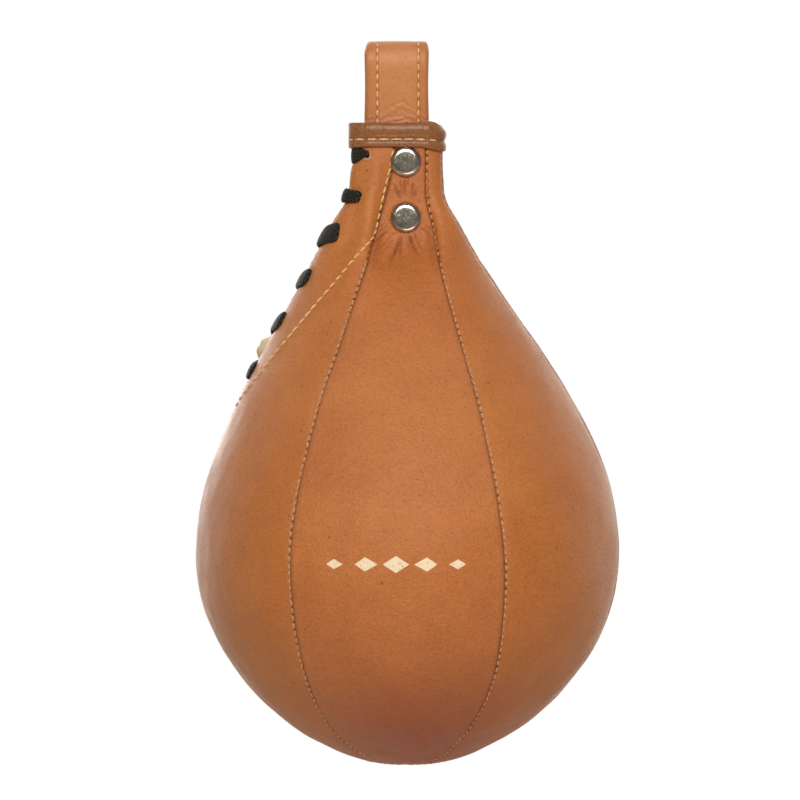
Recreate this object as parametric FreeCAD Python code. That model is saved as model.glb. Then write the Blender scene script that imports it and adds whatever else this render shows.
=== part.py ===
"""Leather speed bag: a six-gore, air-filled leather ball on a flattened neck, laced down one side,
with a strap loop riveted into the neck.

Millimetres, +Z up, -Y the front. The origin is at the centre of the strap loop's inner bend, where the
hook of a swivel carries the bag. The lacing is on the -X side. Every piece is drawn round the round
body's vertical axis, and then moved sideways by the strap's offset, so that the loop is at the origin.
"""

import FreeCAD, Part
import math
import os

V = FreeCAD.Vector

# ---- Driving dimensions -------------------------------------------------------------------------
LEATHER = 1.9              # thickness of the gores
GAP = 0.12                 # clearance between sewn layers
PATCH_RADIUS = 16.0        # where the gores end round the bottom patch

# The outer skin, from the neck's top edge to the bottom patch. Each row is one height:
# (z, half width, half depth, centre x, squareness of the oval,
#  left and right seam of the front gore as a share of the half width)
SKIN = [
    (-27.0, 19.3, 7.7, -4.4, 2.7, -0.03, 0.63),
    (-38.0, 19.3, 7.6, -4.4, 2.7, -0.04, 0.63),
    (-50.0, 19.8, 7.8, -4.8, 2.7, -0.14, 0.63),
    (-57.0, 21.0, 8.6, -5.1, 2.6, -0.2, 0.62),
    (-66.0, 25.9, 11.8, -5.2, 2.5, -0.24, 0.57),
    (-79.0, 33.1, 19.0, -5.0, 2.3, -0.3, 0.51),
    (-96.0, 42.9, 30.5, -3.9, 2.15, -0.39, 0.465),
    (-116.0, 55.6, 45.0, -2.7, 2.05, -0.44, 0.435),
    (-142.0, 70.2, 63.5, -1.0, 2.0, -0.495, 0.42),
    (-167.0, 81.6, 79.0, 0.0, 2.0, -0.515, 0.415),
    (-187.0, 87.5, 87.0, 0.0, 2.0, -0.525, 0.425),
    (-206.0, 89.0, 89.0, 0.0, 2.0, -0.535, 0.44),
    (-224.0, 87.2, 87.2, 0.0, 2.0, -0.54, 0.45),
    (-243.0, 80.2, 80.2, 0.0, 2.0, -0.555, 0.465),
    (-259.0, 69.8, 69.8, 0.0, 2.0, -0.58, 0.485),
    (-271.0, 58.6, 58.6, 0.0, 2.0, -0.61, 0.495),
    (-281.0, 45.6, 45.6, 0.0, 2.0, -0.635, 0.5),
    (-288.6, 31.8, 31.8, 0.0, 2.0, -0.65, 0.5),
    (-292.4, 22.6, 22.6, 0.0, 2.0, -0.65, 0.5),
    (-294.2, PATCH_RADIUS, PATCH_RADIUS, 0.0, 2.0, -0.65, 0.5),
]
PATCH_PROUD = 1.3          # how far the patch's face hangs below the gores' ends
RIGHT_SEAM = 87.0          # degrees round from the front
SLIT_SEAM = 268.0          # the laced slit is in this seam
SLIT_END = -150.0          # below this height the slit seam is sewn
SLIT_HALF_GAP = 1.4        # at the surface, while laced

# Strap: one leather-covered webbing band, folded into a loop above the neck
STRAP_WIDTH = 27.0
STRAP_THICKNESS = 3.4
STRAP_X = -4.6             # centre of the strap, from the round body's axis
TAIL_WIDTH = 19.0          # trimmed width inside the neck
JACKET = 1.1               # leather of the strap on each face of its webbing
EYE_RADIUS = 6.0           # inner bend of the loop
FLEX_Z = -20.0             # the line where the strap flexes, just above the binding
LOOP_FOOT_RADIUS = 3.9
FLEX_GAP = 0.3
TAIL_END_Z = -77.0

# Rivets through front gore, both strap tails and back gore
RIVET_X = -0.8
RIVET_Z = (-41.8, -65.4)
RIVET_CAP_RADIUS = 6.35
RIVET_CAP_HEIGHT = 1.7
RIVET_POST_RADIUS = 2.0
RIVET_PIN_RADIUS = 1.2
RIVET_FIT = 0.06
PINCH_DEPTH = STRAP_THICKNESS + LEATHER + 1.2   # half depth of the neck where the rivets clamp it
PINCH_REACH = 13.0         # how far sideways the clamping flattens the gore
PINCH_FADE = 13.0          # how far below the lower rivet it fades out
CAP_SEAT = PINCH_DEPTH + 0.15

# Binding folded over the neck's top edge
BINDING_TOP = -25.1
BINDING_FOOT = -35.3
BINDING_INNER_FOOT = -34.0
BINDING_OUTER = 1.6
BINDING_INNER = 0.9

# Lacing: bars across the slit outside, diagonals inside; each row is (z, distance from the slit's edge)
LACE_ROWS = ((-39.0, 9.4), (-55.8, 8.2), (-73.4, 10.8), (-91.7, 10.2), (-110.3, 11.8), (-129.3, 9.4))
LACE_RADIUS = 1.4
LACE_HOLE_RADIUS = 1.85
LACE_OUT = 1.9             # height of the bars' centre line above the leather
LACE_IN = 4.8              # depth of the diagonals' centre line

# Layers inside, as depths below the outer skin
FACING = (2.2, 2.98)
FACING_CORNER = -72.0      # where its edge leaves the front gore's seam for the slit's end
LINING = (3.65, 4.25)
LINING_GAP = 16.5          # how far from the slit it stops
TONGUE = (7.3, 8.6)
BLADDER_DEPTH = 5.2
BLADDER_WALL = 1.2
BLADDER_TOP = -86.0
VALVE_RADIUS = 3.0

ROWS = 70                  # samples down a gore
COLUMNS = 17               # samples across a gore
ROW_CROWDING = 1.3         # over 1 sets the samples closer together towards the neck


# ---- Skin ---------------------------------------------------------------------------------------
def _curve(columns):
    """A smooth curve through three columns of SKIN, over the girth profile's length."""
    length = [0.0]
    for upper, lower in zip(SKIN, SKIN[1:]):
        length.append(length[-1] + math.hypot(lower[0] - upper[0], lower[1] - upper[1]))
    curve = Part.BSplineCurve()
    points = [V(*[row[c] for c in columns]) for row in SKIN]
    curve.interpolate(Points=points, Parameters=[x / length[-1] for x in length])
    return curve


SHAPE_CURVE = _curve((0, 1, 2))
OVAL_CURVE = _curve((0, 3, 4))
SEAM_CURVE = _curve((0, 5, 6))


def station_at(z):
    """The place 0 to 1 down the skin's profile that has this height."""
    low, high = 0.0, 1.0
    for _ in range(40):
        middle = (low + high) / 2
        if SHAPE_CURVE.value(middle).x > z:
            low = middle
        else:
            high = middle
    return low


def pinch(x, z):
    """How far, 0 to 1, the rivets hold the neck flat at this place."""
    below = max(0.0, RIVET_Z[1] - RIVET_CAP_RADIUS - z)
    return math.exp(-(((x - RIVET_X) / PINCH_REACH) ** 6) - (below / PINCH_FADE) ** 2)


def skin(station, angle):
    """A point of the outer skin. The angle is in degrees, from the front towards +X."""
    z, half_width, half_depth = SHAPE_CURVE.value(station)
    _, centre, power = OVAL_CURVE.value(station)
    across, ahead = math.sin(math.radians(angle)), math.cos(math.radians(angle))
    reach = (abs(across / half_width) ** power + abs(ahead / half_depth) ** power) ** (-1 / power)
    x, y = centre + reach * across, -reach * ahead
    if abs(y) > PINCH_DEPTH:
        held = pinch(x, z)
        y = math.copysign(abs(y) * (1 - held) + PINCH_DEPTH * held, y)
    return V(x, y, z)


def normal(station, angle):
    """The outward normal of the skin."""
    step = 1e-3
    above, below = max(0.0, station - step), min(1.0, station + step)
    down = skin(below, angle) - skin(above, angle)
    round_ = skin(station, angle + 0.3) - skin(station, angle - 0.3)
    return down.cross(round_).normalize()


def under(station, angle, depth):
    """A point at this depth below the skin; a negative depth is outside it."""
    return skin(station, angle) - normal(station, angle) * depth


def seam_angle(station, share, back=False):
    """The angle of a seam that lies at this share of the half width, on the front or the back."""
    _, half_width, half_depth = SHAPE_CURVE.value(station)
    power = OVAL_CURVE.value(station).z
    depth = half_depth * (1 - abs(share) ** power) ** (1 / power)
    angle = math.degrees(math.atan2(share * half_width, depth))
    return 180 - angle if back else angle


def slit_opening(station):
    """Half the slit's gap at this height: open above SLIT_END and closed below it."""
    z = SHAPE_CURVE.value(station).x
    return SLIT_HALF_GAP * min(1.0, max(0.0, (z - SLIT_END) / 12.0))


def walk(station, start, distance):
    """The angle reached by walking this far round the skin from a start angle."""
    step = math.copysign(0.5, distance)
    angle, left = start, abs(distance)
    here = skin(station, angle)
    while left > 0:
        there = skin(station, angle + step)
        length = (there - here).Length
        if length >= left:
            return angle + step * left / length
        angle, here, left = angle + step, there, left - length
    return angle


def front_left_seam(station):
    return seam_angle(station, SEAM_CURVE.value(station).y)


def front_right_seam(station):
    return seam_angle(station, SEAM_CURVE.value(station).z)


def right_seam(station):
    return RIGHT_SEAM


def back_right_seam(station):
    return seam_angle(station, SEAM_CURVE.value(station).z, back=True)


def back_left_seam(station):
    return seam_angle(station, SEAM_CURVE.value(station).y, back=True)


def slit_back_edge(station):
    return walk(station, SLIT_SEAM, -slit_opening(station))


def slit_front_edge(station):
    return walk(station, SLIT_SEAM, slit_opening(station)) - 360


# ---- Solids from grids of points ----------------------------------------------------------------
def spread_angles(station, first, last, count):
    """Angles from first to last, evenly spaced along the skin."""
    fine = [first + (last - first) * i / 60 for i in range(61)]
    points = [skin(station, a) for a in fine]
    length = [0.0]
    for p, q in zip(points, points[1:]):
        length.append(length[-1] + (q - p).Length)
    angles, k = [], 0
    for i in range(count):
        target = length[-1] * i / (count - 1)
        while k < 59 and length[k + 1] < target:
            k += 1
        share = (target - length[k]) / (length[k + 1] - length[k])
        angles.append(fine[k] + (fine[k + 1] - fine[k]) * min(1.0, share))
    return angles


def sheet_solid(outer, inner):
    """A closed solid between two equal grids of points."""
    faces, borders = [], []
    for grid in (outer, inner):
        surface = Part.BSplineSurface()
        surface.interpolate(grid)
        u0, u1, v0, v1 = surface.bounds()
        faces.append(surface.toShape())
        curves = (surface.uIso(u0), surface.uIso(u1), surface.vIso(v0), surface.vIso(v1))
        borders.append([c.toShape() for c in curves])
    for over, below in zip(*borders):
        faces.append(Part.makeRuledSurface(over, below))
    shell = Part.makeShell(faces)
    shell.sewShape()
    solid = Part.makeSolid(shell)
    if solid.Volume < 0:
        solid.reverse()
    return solid


def layer(first, last, top, foot, depths, rows=ROWS, columns=COLUMNS):
    """A layer of the bag between two seams (functions of the station), two heights and two depths."""
    start, end = station_at(top), station_at(foot)
    outer, inner = [], []
    for i in range(rows):
        station = start + (end - start) * (i / (rows - 1)) ** ROW_CROWDING
        angles = spread_angles(station, first(station), last(station), columns)
        outer.append([under(station, a, depths[0]) for a in angles])
        inner.append([under(station, a, depths[1]) for a in angles])
    return sheet_solid(outer, inner)


def cylinder_along(centre, direction, radius, before, after):
    """A cylinder on a line, reaching this far before and after its centre."""
    return Part.makeCylinder(radius, before + after, centre - direction * before, direction)


def tube(points, radius):
    """A round cord of straight runs and tangent arcs through a list of corner points."""
    edges, start = [], points[0]
    for before, corner, after in zip(points, points[1:], points[2:]):
        back, on = before - corner, after - corner
        half_turn = (math.pi - back.getAngle(on)) / 2
        cut = min(1.6, 0.45 * back.Length, 0.45 * on.Length)
        back.normalize()
        on.normalize()
        arc_start, arc_end = corner + back * cut, corner + on * cut
        bend_radius = cut / math.tan(half_turn)
        bisector = (back + on).normalize()
        middle = corner + bisector * (bend_radius / math.cos(half_turn) - bend_radius)
        edges.append(Part.LineSegment(start, arc_start).toShape())
        edges.append(Part.Arc(arc_start, middle, arc_end).toShape())
        start = arc_end
    edges.append(Part.LineSegment(start, points[-1]).toShape())
    path = Part.Wire(edges)
    circle = Part.Circle(points[0], points[1] - points[0], radius)
    pipe = path.makePipeShell([Part.Wire(circle.toShape())], True, True, 2)
    print("lace: length %.0f, volume %.0f, section x length %.0f" % (
        path.Length, pipe.Volume, math.pi * radius ** 2 * path.Length))
    return pipe


# ---- Gores --------------------------------------------------------------------------------------
NECK_TOP = SKIN[0][0]
SKIN_FOOT = SKIN[-1][0]
SEAMS = {
    "panel_front": (front_left_seam, front_right_seam),
    "panel_front_right": (front_right_seam, right_seam),
    "panel_back_right": (right_seam, back_right_seam),
    "panel_back": (back_right_seam, back_left_seam),
    "panel_back_left": (back_left_seam, slit_back_edge),
    "panel_front_left": (slit_front_edge, front_left_seam),
}


def lace_place(row, side):
    """Station and angle of one lace hole: side is 1 on the front flap and -1 on the back flap."""
    z, distance = LACE_ROWS[row]
    station = station_at(z)
    return station, walk(station, SLIT_SEAM, side * (distance + slit_opening(station)))


def lace_holes(side):
    tools = []
    for row in range(len(LACE_ROWS)):
        station, angle = lace_place(row, side)
        tools.append(cylinder_along(skin(station, angle), normal(station, angle),
                                    LACE_HOLE_RADIUS, FACING[1] + 1.0, 1.5))
    return tools


def rivet_holes():
    """The holes for both rivets, right through the neck."""
    return [cylinder_along(V(RIVET_X, 0, z), V(0, 1, 0), RIVET_POST_RADIUS + RIVET_FIT, 9, 9)
            for z in RIVET_Z]


def make_gore(name):
    first, last = SEAMS[name]
    gore = layer(first, last, NECK_TOP, SKIN_FOOT, (0.0, LEATHER))
    if name in ("panel_front", "panel_back"):
        return gore.cut(Part.makeCompound(rivet_holes()))
    if name in ("panel_front_left", "panel_back_left"):
        return gore.cut(Part.makeCompound(lace_holes(1 if name == "panel_front_left" else -1)))
    return gore


def make_bottom_patch():
    """A round patch that closes the ring of gore ends, with the valve's hole."""
    radius = PATCH_RADIUS - 0.6
    disc = Part.makeCylinder(radius, LEATHER, V(0, 0, SKIN_FOOT - PATCH_PROUD))
    return disc.cut(Part.makeCylinder(VALVE_RADIUS + 0.1, 6, V(0, 0, SKIN_FOOT - 3)))


# ---- Neck ---------------------------------------------------------------------------------------
def make_binding():
    """A U-shaped strip folded over the neck's top edge, open at the slit."""
    outside, inside = -GAP, LEATHER + GAP
    profile = [
        (outside, BINDING_FOOT),
        (outside, NECK_TOP + GAP),
        (inside, NECK_TOP + GAP),
        (inside, BINDING_INNER_FOOT),
        (inside + BINDING_INNER, BINDING_INNER_FOOT),
        (inside + BINDING_INNER, BINDING_TOP - 0.7),
        (inside, BINDING_TOP),
        (outside - 0.6, BINDING_TOP),
        (outside - BINDING_OUTER, BINDING_TOP - 1.1),
        (outside - BINDING_OUTER, BINDING_FOOT + 0.6),
        (outside - BINDING_OUTER + 0.5, BINDING_FOOT),
    ]
    stations = [station_at(min(z, NECK_TOP)) for _, z in profile]
    middle = station_at((BINDING_TOP + BINDING_FOOT) / 2)
    first, last = slit_front_edge(middle), slit_back_edge(middle)
    wires = []
    for angle in spread_angles(middle, first, last, 65):
        base, out = skin(middle, angle), normal(middle, angle)
        out = V(out.x, out.y, 0).normalize()
        corners = []
        for station, (depth, z) in zip(stations, profile):
            corner = base + out * (under(station, angle, depth) - base).dot(out)
            corners.append(V(corner.x, corner.y, z))
        wires.append(Part.makePolygon(corners + corners[:1]))
    return Part.makeLoft(wires, True, True)


def strap_slab(width, inset, top, foot, near, far):
    """A flat length of strap across X, between two heights and two depths in Y."""
    slab_width = width - 2 * inset
    corner = V(STRAP_X - slab_width / 2, near, foot)
    return Part.makeBox(slab_width, far - near, top - foot, corner)


def make_tail(side, core):
    """One strap leg inside the neck: its leather jacket, or the webbing core inside the jacket."""
    inset = JACKET if core else 0.0
    top = FLEX_Z - LOOP_FOOT_RADIUS - FLEX_GAP
    near, far = inset + GAP / 2, STRAP_THICKNESS - inset
    wide_foot = BINDING_INNER_FOOT
    tail = strap_slab(STRAP_WIDTH, inset, top, wide_foot, near, far)
    tail = tail.fuse(strap_slab(TAIL_WIDTH, inset, wide_foot, TAIL_END_Z + inset, near, far))
    if side < 0:
        tail = tail.mirror(V(0, 0, 0), V(0, 1, 0))
    return tail.removeSplitter()


def loop_profile(thin):
    """The loop seen from its side, as a face in the YZ plane; thin takes that much off all round."""
    outer = EYE_RADIUS + STRAP_THICKNESS - thin
    foot = LOOP_FOOT_RADIUS - thin
    return Part.makeFace(_teardrop(outer, foot, FLEX_Z), "Part::FaceMakerSimple")


def _teardrop(top_radius, foot_radius, foot_z):
    """A closed wire: an arc round the origin and one round (0, foot_z), joined by tangents."""
    tilt = math.asin((top_radius - foot_radius) / abs(foot_z))
    side = V(0, math.cos(tilt), -math.sin(tilt))
    mirror = V(0, -side.y, side.z)
    foot = V(0, 0, foot_z)
    upper = Part.Arc(side * top_radius, V(0, 0, top_radius), mirror * top_radius)
    lower = Part.Arc(foot + mirror * foot_radius, foot - V(0, 0, foot_radius),
                     foot + side * foot_radius)
    return Part.Wire([
        upper.toShape(),
        Part.LineSegment(mirror * top_radius, foot + mirror * foot_radius).toShape(),
        lower.toShape(),
        Part.LineSegment(foot + side * foot_radius, side * top_radius).toShape(),
    ])


def make_eye(grow):
    """The loop's opening as a solid, grown all round."""
    wire = _teardrop(EYE_RADIUS + grow, 0.5 + grow, FLEX_Z + 4.6)
    eye = Part.makeFace(wire, "Part::FaceMakerSimple").extrude(V(STRAP_WIDTH + 4, 0, 0))
    eye.translate(V(STRAP_X - STRAP_WIDTH / 2 - 2, 0, 0))
    return eye


def make_loop_band(inset):
    """The loop as a solid band, with its side edges moved in by the inset."""
    band = loop_profile(inset).extrude(V(STRAP_WIDTH - 2 * inset, 0, 0))
    band.translate(V(STRAP_X - STRAP_WIDTH / 2 + inset, 0, 0))
    return band.cut(make_eye(inset))


def make_loop():
    """The leather jacket of the loop, hollow where its webbing lies."""
    return make_loop_band(0.0).cut(make_loop_band(JACKET))


def make_rivet_front(z):
    """Domed cap and hollow post, from the front."""
    seat = V(RIVET_X, -CAP_SEAT, z)
    cap = domed_cap(seat, V(0, -1, 0))
    post = cylinder_along(seat, V(0, 1, 0), RIVET_POST_RADIUS, 0, 2 * CAP_SEAT - 0.02)
    bore = cylinder_along(seat, V(0, 1, 0), RIVET_PIN_RADIUS + RIVET_FIT / 2, 0.2, 20)
    return cap.fuse(post).cut(bore).removeSplitter()


def make_rivet_back(z):
    """Domed cap and solid pin, pressed in from the back."""
    seat = V(RIVET_X, CAP_SEAT, z)
    cap = domed_cap(seat, V(0, 1, 0))
    pin = cylinder_along(seat, V(0, -1, 0), RIVET_PIN_RADIUS, 0, 2 * CAP_SEAT - 0.4)
    return cap.fuse(pin).removeSplitter()


def domed_cap(seat, out):
    """A rivet cap: a short rim under a shallow dome."""
    rim = 0.8
    dome_rise = RIVET_CAP_HEIGHT - rim
    dome_radius = (RIVET_CAP_RADIUS ** 2 + dome_rise ** 2) / (2 * dome_rise)
    barrel = Part.makeCylinder(RIVET_CAP_RADIUS, RIVET_CAP_HEIGHT, seat, out)
    ball = Part.makeSphere(dome_radius, seat + out * (RIVET_CAP_HEIGHT - dome_radius))
    return barrel.common(ball)


# ---- Lacing -------------------------------------------------------------------------------------
def facing_edge(station):
    """The facing's sewn edge: down the front gore's seam, then straight to the slit's end."""
    z = SHAPE_CURVE.value(station).x
    start, end = station_at(FACING_CORNER), station_at(SLIT_END - 4)
    if z > FACING_CORNER:
        return front_left_seam(station)
    share = (station - start) / (end - start)
    share += 0.055 * math.sin(2 * math.pi * share) - 0.03 * math.sin(math.pi * share)
    return (1 - share) * front_left_seam(station) + share * (SLIT_SEAM - 360)


def back_facing_edge(station):
    """The back facing's edge mirrors the front one's."""
    return 180 - facing_edge(station)


def make_facing(side):
    """The leather facing sewn inside one flap of the slit."""
    foot = SLIT_END + 9
    edges = {1: (slit_front_edge, facing_edge), -1: (back_facing_edge, slit_back_edge)}[side]
    facing = layer(*edges, BINDING_INNER_FOOT - 1.0, foot, FACING, rows=60, columns=21)
    return facing.cut(Part.makeCompound(lace_holes(side)))


def make_tongue():
    """The soft strip that lies under the slit, behind the lacing."""
    def edge(distance):
        return lambda station: walk(station, SLIT_SEAM, distance)
    return layer(edge(-13.0), edge(13.0), -66.0, SLIT_END + 3, TONGUE, rows=20, columns=9)


def make_lace():
    """One lace: bars across the slit outside, diagonals to the next row inside."""
    points = []
    first_station, first_angle = lace_place(0, 1)
    start = under(first_station, first_angle, LACE_IN)
    points.append(start + V(0, 0, -6.0))
    for row in range(len(LACE_ROWS)):
        station, angle = lace_place(row, 1)
        if row:
            halfway = station_at((LACE_ROWS[row - 1][0] + LACE_ROWS[row][0]) / 2)
            points.append(under(halfway, SLIT_SEAM, LACE_IN))
        points += [under(station, angle, LACE_IN), under(station, angle, -LACE_OUT)]
        reach = LACE_ROWS[row][1]
        points += [under(station, walk(station, SLIT_SEAM, reach * share), -LACE_OUT - 0.3)
                   for share in (0.66, 0.34, 0.01, -0.34, -0.66)]
        station, angle = lace_place(row, -1)
        points += [under(station, angle, -LACE_OUT), under(station, angle, LACE_IN)]
    last_station = station_at(LACE_ROWS[-1][0] - 9.0)
    points.append(under(last_station, SLIT_SEAM, LACE_IN))
    return tube(points, LACE_RADIUS)


# ---- Inside -------------------------------------------------------------------------------------
def make_lining():
    """The cloth lining, open where the slit and its lacing are."""
    def beside_slit(side):
        def edge(station):
            z = SHAPE_CURVE.value(station).x
            room = LINING_GAP * min(1.0, max(0.0, (z - SLIT_END + 12) / 12.0)) + 0.05
            return walk(station, SLIT_SEAM, side * room)
        return edge
    front = beside_slit(1)
    return layer(lambda s: front(s) - 360, beside_slit(-1), TAIL_END_Z - 2, SKIN_FOOT,
                 LINING, rows=40, columns=41)


def bladder_curve(depth):
    """Half the bladder's section this deep below the skin, from its crown to the valve's hole."""
    top, foot = station_at(BLADDER_TOP - 8), station_at(SKIN_FOOT + 1)
    places = [under(top + (foot - top) * i / 17, 0, depth) for i in range(18)]
    shoulder = -places[0].y
    points = [V(0, 0, BLADDER_TOP - depth), V(0.55 * shoulder, 0, BLADDER_TOP - depth - 1.3)]
    points += [V(-p.y, 0, p.z) for p in places]
    points.append(V(VALVE_RADIUS, 0, SKIN_FOOT + depth))
    spline = Part.BSplineCurve()
    spline.interpolate(Points=points)
    return spline


def make_bladder():
    """The rubber bladder: a hollow pear with the valve's hole at the bottom."""
    outside, inside = bladder_curve(BLADDER_DEPTH), bladder_curve(BLADDER_DEPTH + BLADDER_WALL)
    wire = Part.Wire([
        outside.toShape(),
        Part.LineSegment(outside.EndPoint, inside.EndPoint).toShape(),
        inside.toShape(),
        Part.LineSegment(inside.StartPoint, outside.StartPoint).toShape(),
    ])
    solid = Part.Face(wire).revolve(V(0, 0, 0), V(0, 0, 1), 360)
    if solid.Volume < 0:
        solid.reverse()
    return solid


def make_valve():
    """The rubber needle valve: a stem through bladder and patch, with a flange inside."""
    sole = SKIN_FOOT - PATCH_PROUD + 0.2
    stem = Part.makeCylinder(VALVE_RADIUS - 0.1, 9.0, V(0, 0, sole))
    flange = Part.makeCylinder(7.5, 1.4, V(0, 0, sole + 7.6))
    dimple = Part.makeCone(1.3, 0.4, 1.2, V(0, 0, sole))
    return stem.fuse(flange).cut(dimple).removeSplitter()


# ---- All parts ----------------------------------------------------------------------------------
def make_parts():
    parts = {name: make_gore(name) for name in SEAMS}
    parts["bottom_patch"] = make_bottom_patch()
    parts["neck_binding"] = make_binding()
    holes = Part.makeCompound(rivet_holes())
    for side, word in ((-1, "front"), (1, "back")):
        core = make_tail(side, core=True)
        parts["strap_tail_" + word] = make_tail(side, core=False).cut(core).cut(holes)
        parts["tail_webbing_" + word] = core.cut(holes)
    parts["hanging_loop"] = make_loop()
    parts["loop_webbing"] = make_loop_band(JACKET + GAP)
    for z, word in zip(RIVET_Z, ("upper", "lower")):
        parts[word + "_rivet_front"] = make_rivet_front(z)
        parts[word + "_rivet_back"] = make_rivet_back(z)
    parts["lace_facing_front"] = make_facing(1)
    parts["lace_facing_back"] = make_facing(-1)
    parts["tongue"] = make_tongue()
    parts["lace"] = make_lace()
    parts["lining"] = make_lining()
    parts["bladder"] = make_bladder()
    parts["bladder_valve"] = make_valve()
    return parts


def main():
    os.makedirs("parts", exist_ok=True)
    for name, shape in make_parts().items():
        shape.translate(V(-STRAP_X, 0, 0))
        shape.exportStep("parts/%s.step" % name)
        box = shape.BoundBox
        print("%-20s %9.1f mm3 valid=%s solids=%d z %.1f..%.1f" % (
            name, shape.Volume, shape.isValid(), len(shape.Solids), box.ZMin, box.ZMax))


main()
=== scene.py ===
"""Looks for a laced leather speed bag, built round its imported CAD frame.

Shapes are worked out in millimetres round the bag's own vertical axis. Every mesh is made in metres,
and moved sideways so that the strap's loop is at the origin, as in the CAD. Angles run round the bag
in degrees, from the front (-Y) towards +X.
"""

import math

import bpy
import numpy as np
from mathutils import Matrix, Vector

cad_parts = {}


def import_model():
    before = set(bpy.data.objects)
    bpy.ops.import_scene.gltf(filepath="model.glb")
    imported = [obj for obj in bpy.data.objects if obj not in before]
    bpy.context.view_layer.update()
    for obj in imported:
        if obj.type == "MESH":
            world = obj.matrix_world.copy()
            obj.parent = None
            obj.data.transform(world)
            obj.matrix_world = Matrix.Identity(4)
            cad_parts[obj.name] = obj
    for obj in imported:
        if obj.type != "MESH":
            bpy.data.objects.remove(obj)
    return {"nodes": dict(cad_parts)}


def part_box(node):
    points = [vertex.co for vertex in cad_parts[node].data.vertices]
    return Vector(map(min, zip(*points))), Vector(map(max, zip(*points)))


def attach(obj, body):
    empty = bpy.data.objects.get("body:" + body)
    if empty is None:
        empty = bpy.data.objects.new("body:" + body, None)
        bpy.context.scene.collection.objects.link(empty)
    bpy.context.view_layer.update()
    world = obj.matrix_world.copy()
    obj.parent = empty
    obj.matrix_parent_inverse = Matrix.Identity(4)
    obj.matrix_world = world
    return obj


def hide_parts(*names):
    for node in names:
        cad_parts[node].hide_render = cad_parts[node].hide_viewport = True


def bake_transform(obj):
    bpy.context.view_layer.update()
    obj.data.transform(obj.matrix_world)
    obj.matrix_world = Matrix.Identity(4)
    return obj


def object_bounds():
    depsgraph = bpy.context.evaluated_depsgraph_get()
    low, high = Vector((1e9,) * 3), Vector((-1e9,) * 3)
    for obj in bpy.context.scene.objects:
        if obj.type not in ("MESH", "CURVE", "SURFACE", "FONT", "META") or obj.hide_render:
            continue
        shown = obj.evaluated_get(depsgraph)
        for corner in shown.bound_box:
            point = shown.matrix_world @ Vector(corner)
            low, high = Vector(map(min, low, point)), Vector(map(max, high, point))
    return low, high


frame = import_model()
CAD_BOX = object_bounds()

MM = 0.001
RNG = np.random.default_rng(7)

# ---- The bag's shape, as in the CAD source
# (z, half width, half depth, centre x, squareness, left seam share, right seam share)
SKIN = np.array([
    (-27.0, 19.3, 7.7, -4.4, 2.7, -0.03, 0.63),
    (-38.0, 19.3, 7.6, -4.4, 2.7, -0.04, 0.63),
    (-50.0, 19.8, 7.8, -4.8, 2.7, -0.14, 0.63),
    (-57.0, 21.0, 8.6, -5.1, 2.6, -0.2, 0.62),
    (-66.0, 25.9, 11.8, -5.2, 2.5, -0.24, 0.57),
    (-79.0, 33.1, 19.0, -5.0, 2.3, -0.3, 0.51),
    (-96.0, 42.9, 30.5, -3.9, 2.15, -0.39, 0.465),
    (-116.0, 55.6, 45.0, -2.7, 2.05, -0.44, 0.435),
    (-142.0, 70.2, 63.5, -1.0, 2.0, -0.495, 0.42),
    (-167.0, 81.6, 79.0, 0.0, 2.0, -0.515, 0.415),
    (-187.0, 87.5, 87.0, 0.0, 2.0, -0.525, 0.425),
    (-206.0, 89.0, 89.0, 0.0, 2.0, -0.535, 0.44),
    (-224.0, 87.2, 87.2, 0.0, 2.0, -0.54, 0.45),
    (-243.0, 80.2, 80.2, 0.0, 2.0, -0.555, 0.465),
    (-259.0, 69.8, 69.8, 0.0, 2.0, -0.58, 0.485),
    (-271.0, 58.6, 58.6, 0.0, 2.0, -0.61, 0.495),
    (-281.0, 45.6, 45.6, 0.0, 2.0, -0.635, 0.5),
    (-288.6, 31.8, 31.8, 0.0, 2.0, -0.65, 0.5),
    (-292.4, 22.6, 22.6, 0.0, 2.0, -0.65, 0.5),
    (-294.2, 16.0, 16.0, 0.0, 2.0, -0.65, 0.5),
])
LEATHER = 1.9              # thickness of the gores
RIGHT_SEAM = 87.0          # angles of the two seams that show only at the sides
SLIT_SEAM = 268.0
SLIT_END = -150.0          # below this height the slit's seam is sewn
SLIT_HALF_GAP = 1.4
RIVET_X = -0.8
RIVET_Z = (-41.8, -65.4)
RIVET_CAP = 6.35
PINCH_DEPTH = 6.5          # half depth of the neck where the rivets clamp it
PINCH_REACH = 13.0         # how far sideways they flatten it
PINCH_FADE = 13.0          # how far below the lower rivet that fades out
CAP_SEAT = PINCH_DEPTH + 0.15
# (z, distance of the hole from the slit's edge)
LACE_ROWS = ((-39.0, 9.4), (-55.8, 8.2), (-73.4, 10.8), (-91.7, 10.2), (-110.3, 11.8), (-129.3, 9.4))
FACING_CORNER = -72.0      # where the facing's edge leaves the front gore's seam
STRAP_X = -4.6             # centre of the strap, from the bag's axis
STRAP_WIDTH = 27.0
STRAP_THICKNESS = 3.4
EYE_RADIUS = 6.0


# ---- Curves and noise
def spline(knots, values):
    """A natural cubic spline as a function of an array."""
    n = len(knots)
    h = np.diff(knots)
    system, right = np.eye(n), np.zeros(n)
    for i in range(1, n - 1):
        system[i, i - 1:i + 2] = h[i - 1], 2 * (h[i - 1] + h[i]), h[i]
        right[i] = 6 * ((values[i + 1] - values[i]) / h[i] - (values[i] - values[i - 1]) / h[i - 1])
    m = np.linalg.solve(system, right)

    def value(x):
        x = np.asarray(x, float)
        i = np.clip(np.searchsorted(knots, x) - 1, 0, n - 2)
        a, b, d = knots[i + 1] - x, x - knots[i], h[i]
        return ((m[i] * a ** 3 + m[i + 1] * b ** 3) / (6 * d)
                + (values[i] / d - m[i] * d / 6) * a + (values[i + 1] / d - m[i + 1] * d / 6) * b)
    return value


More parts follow.
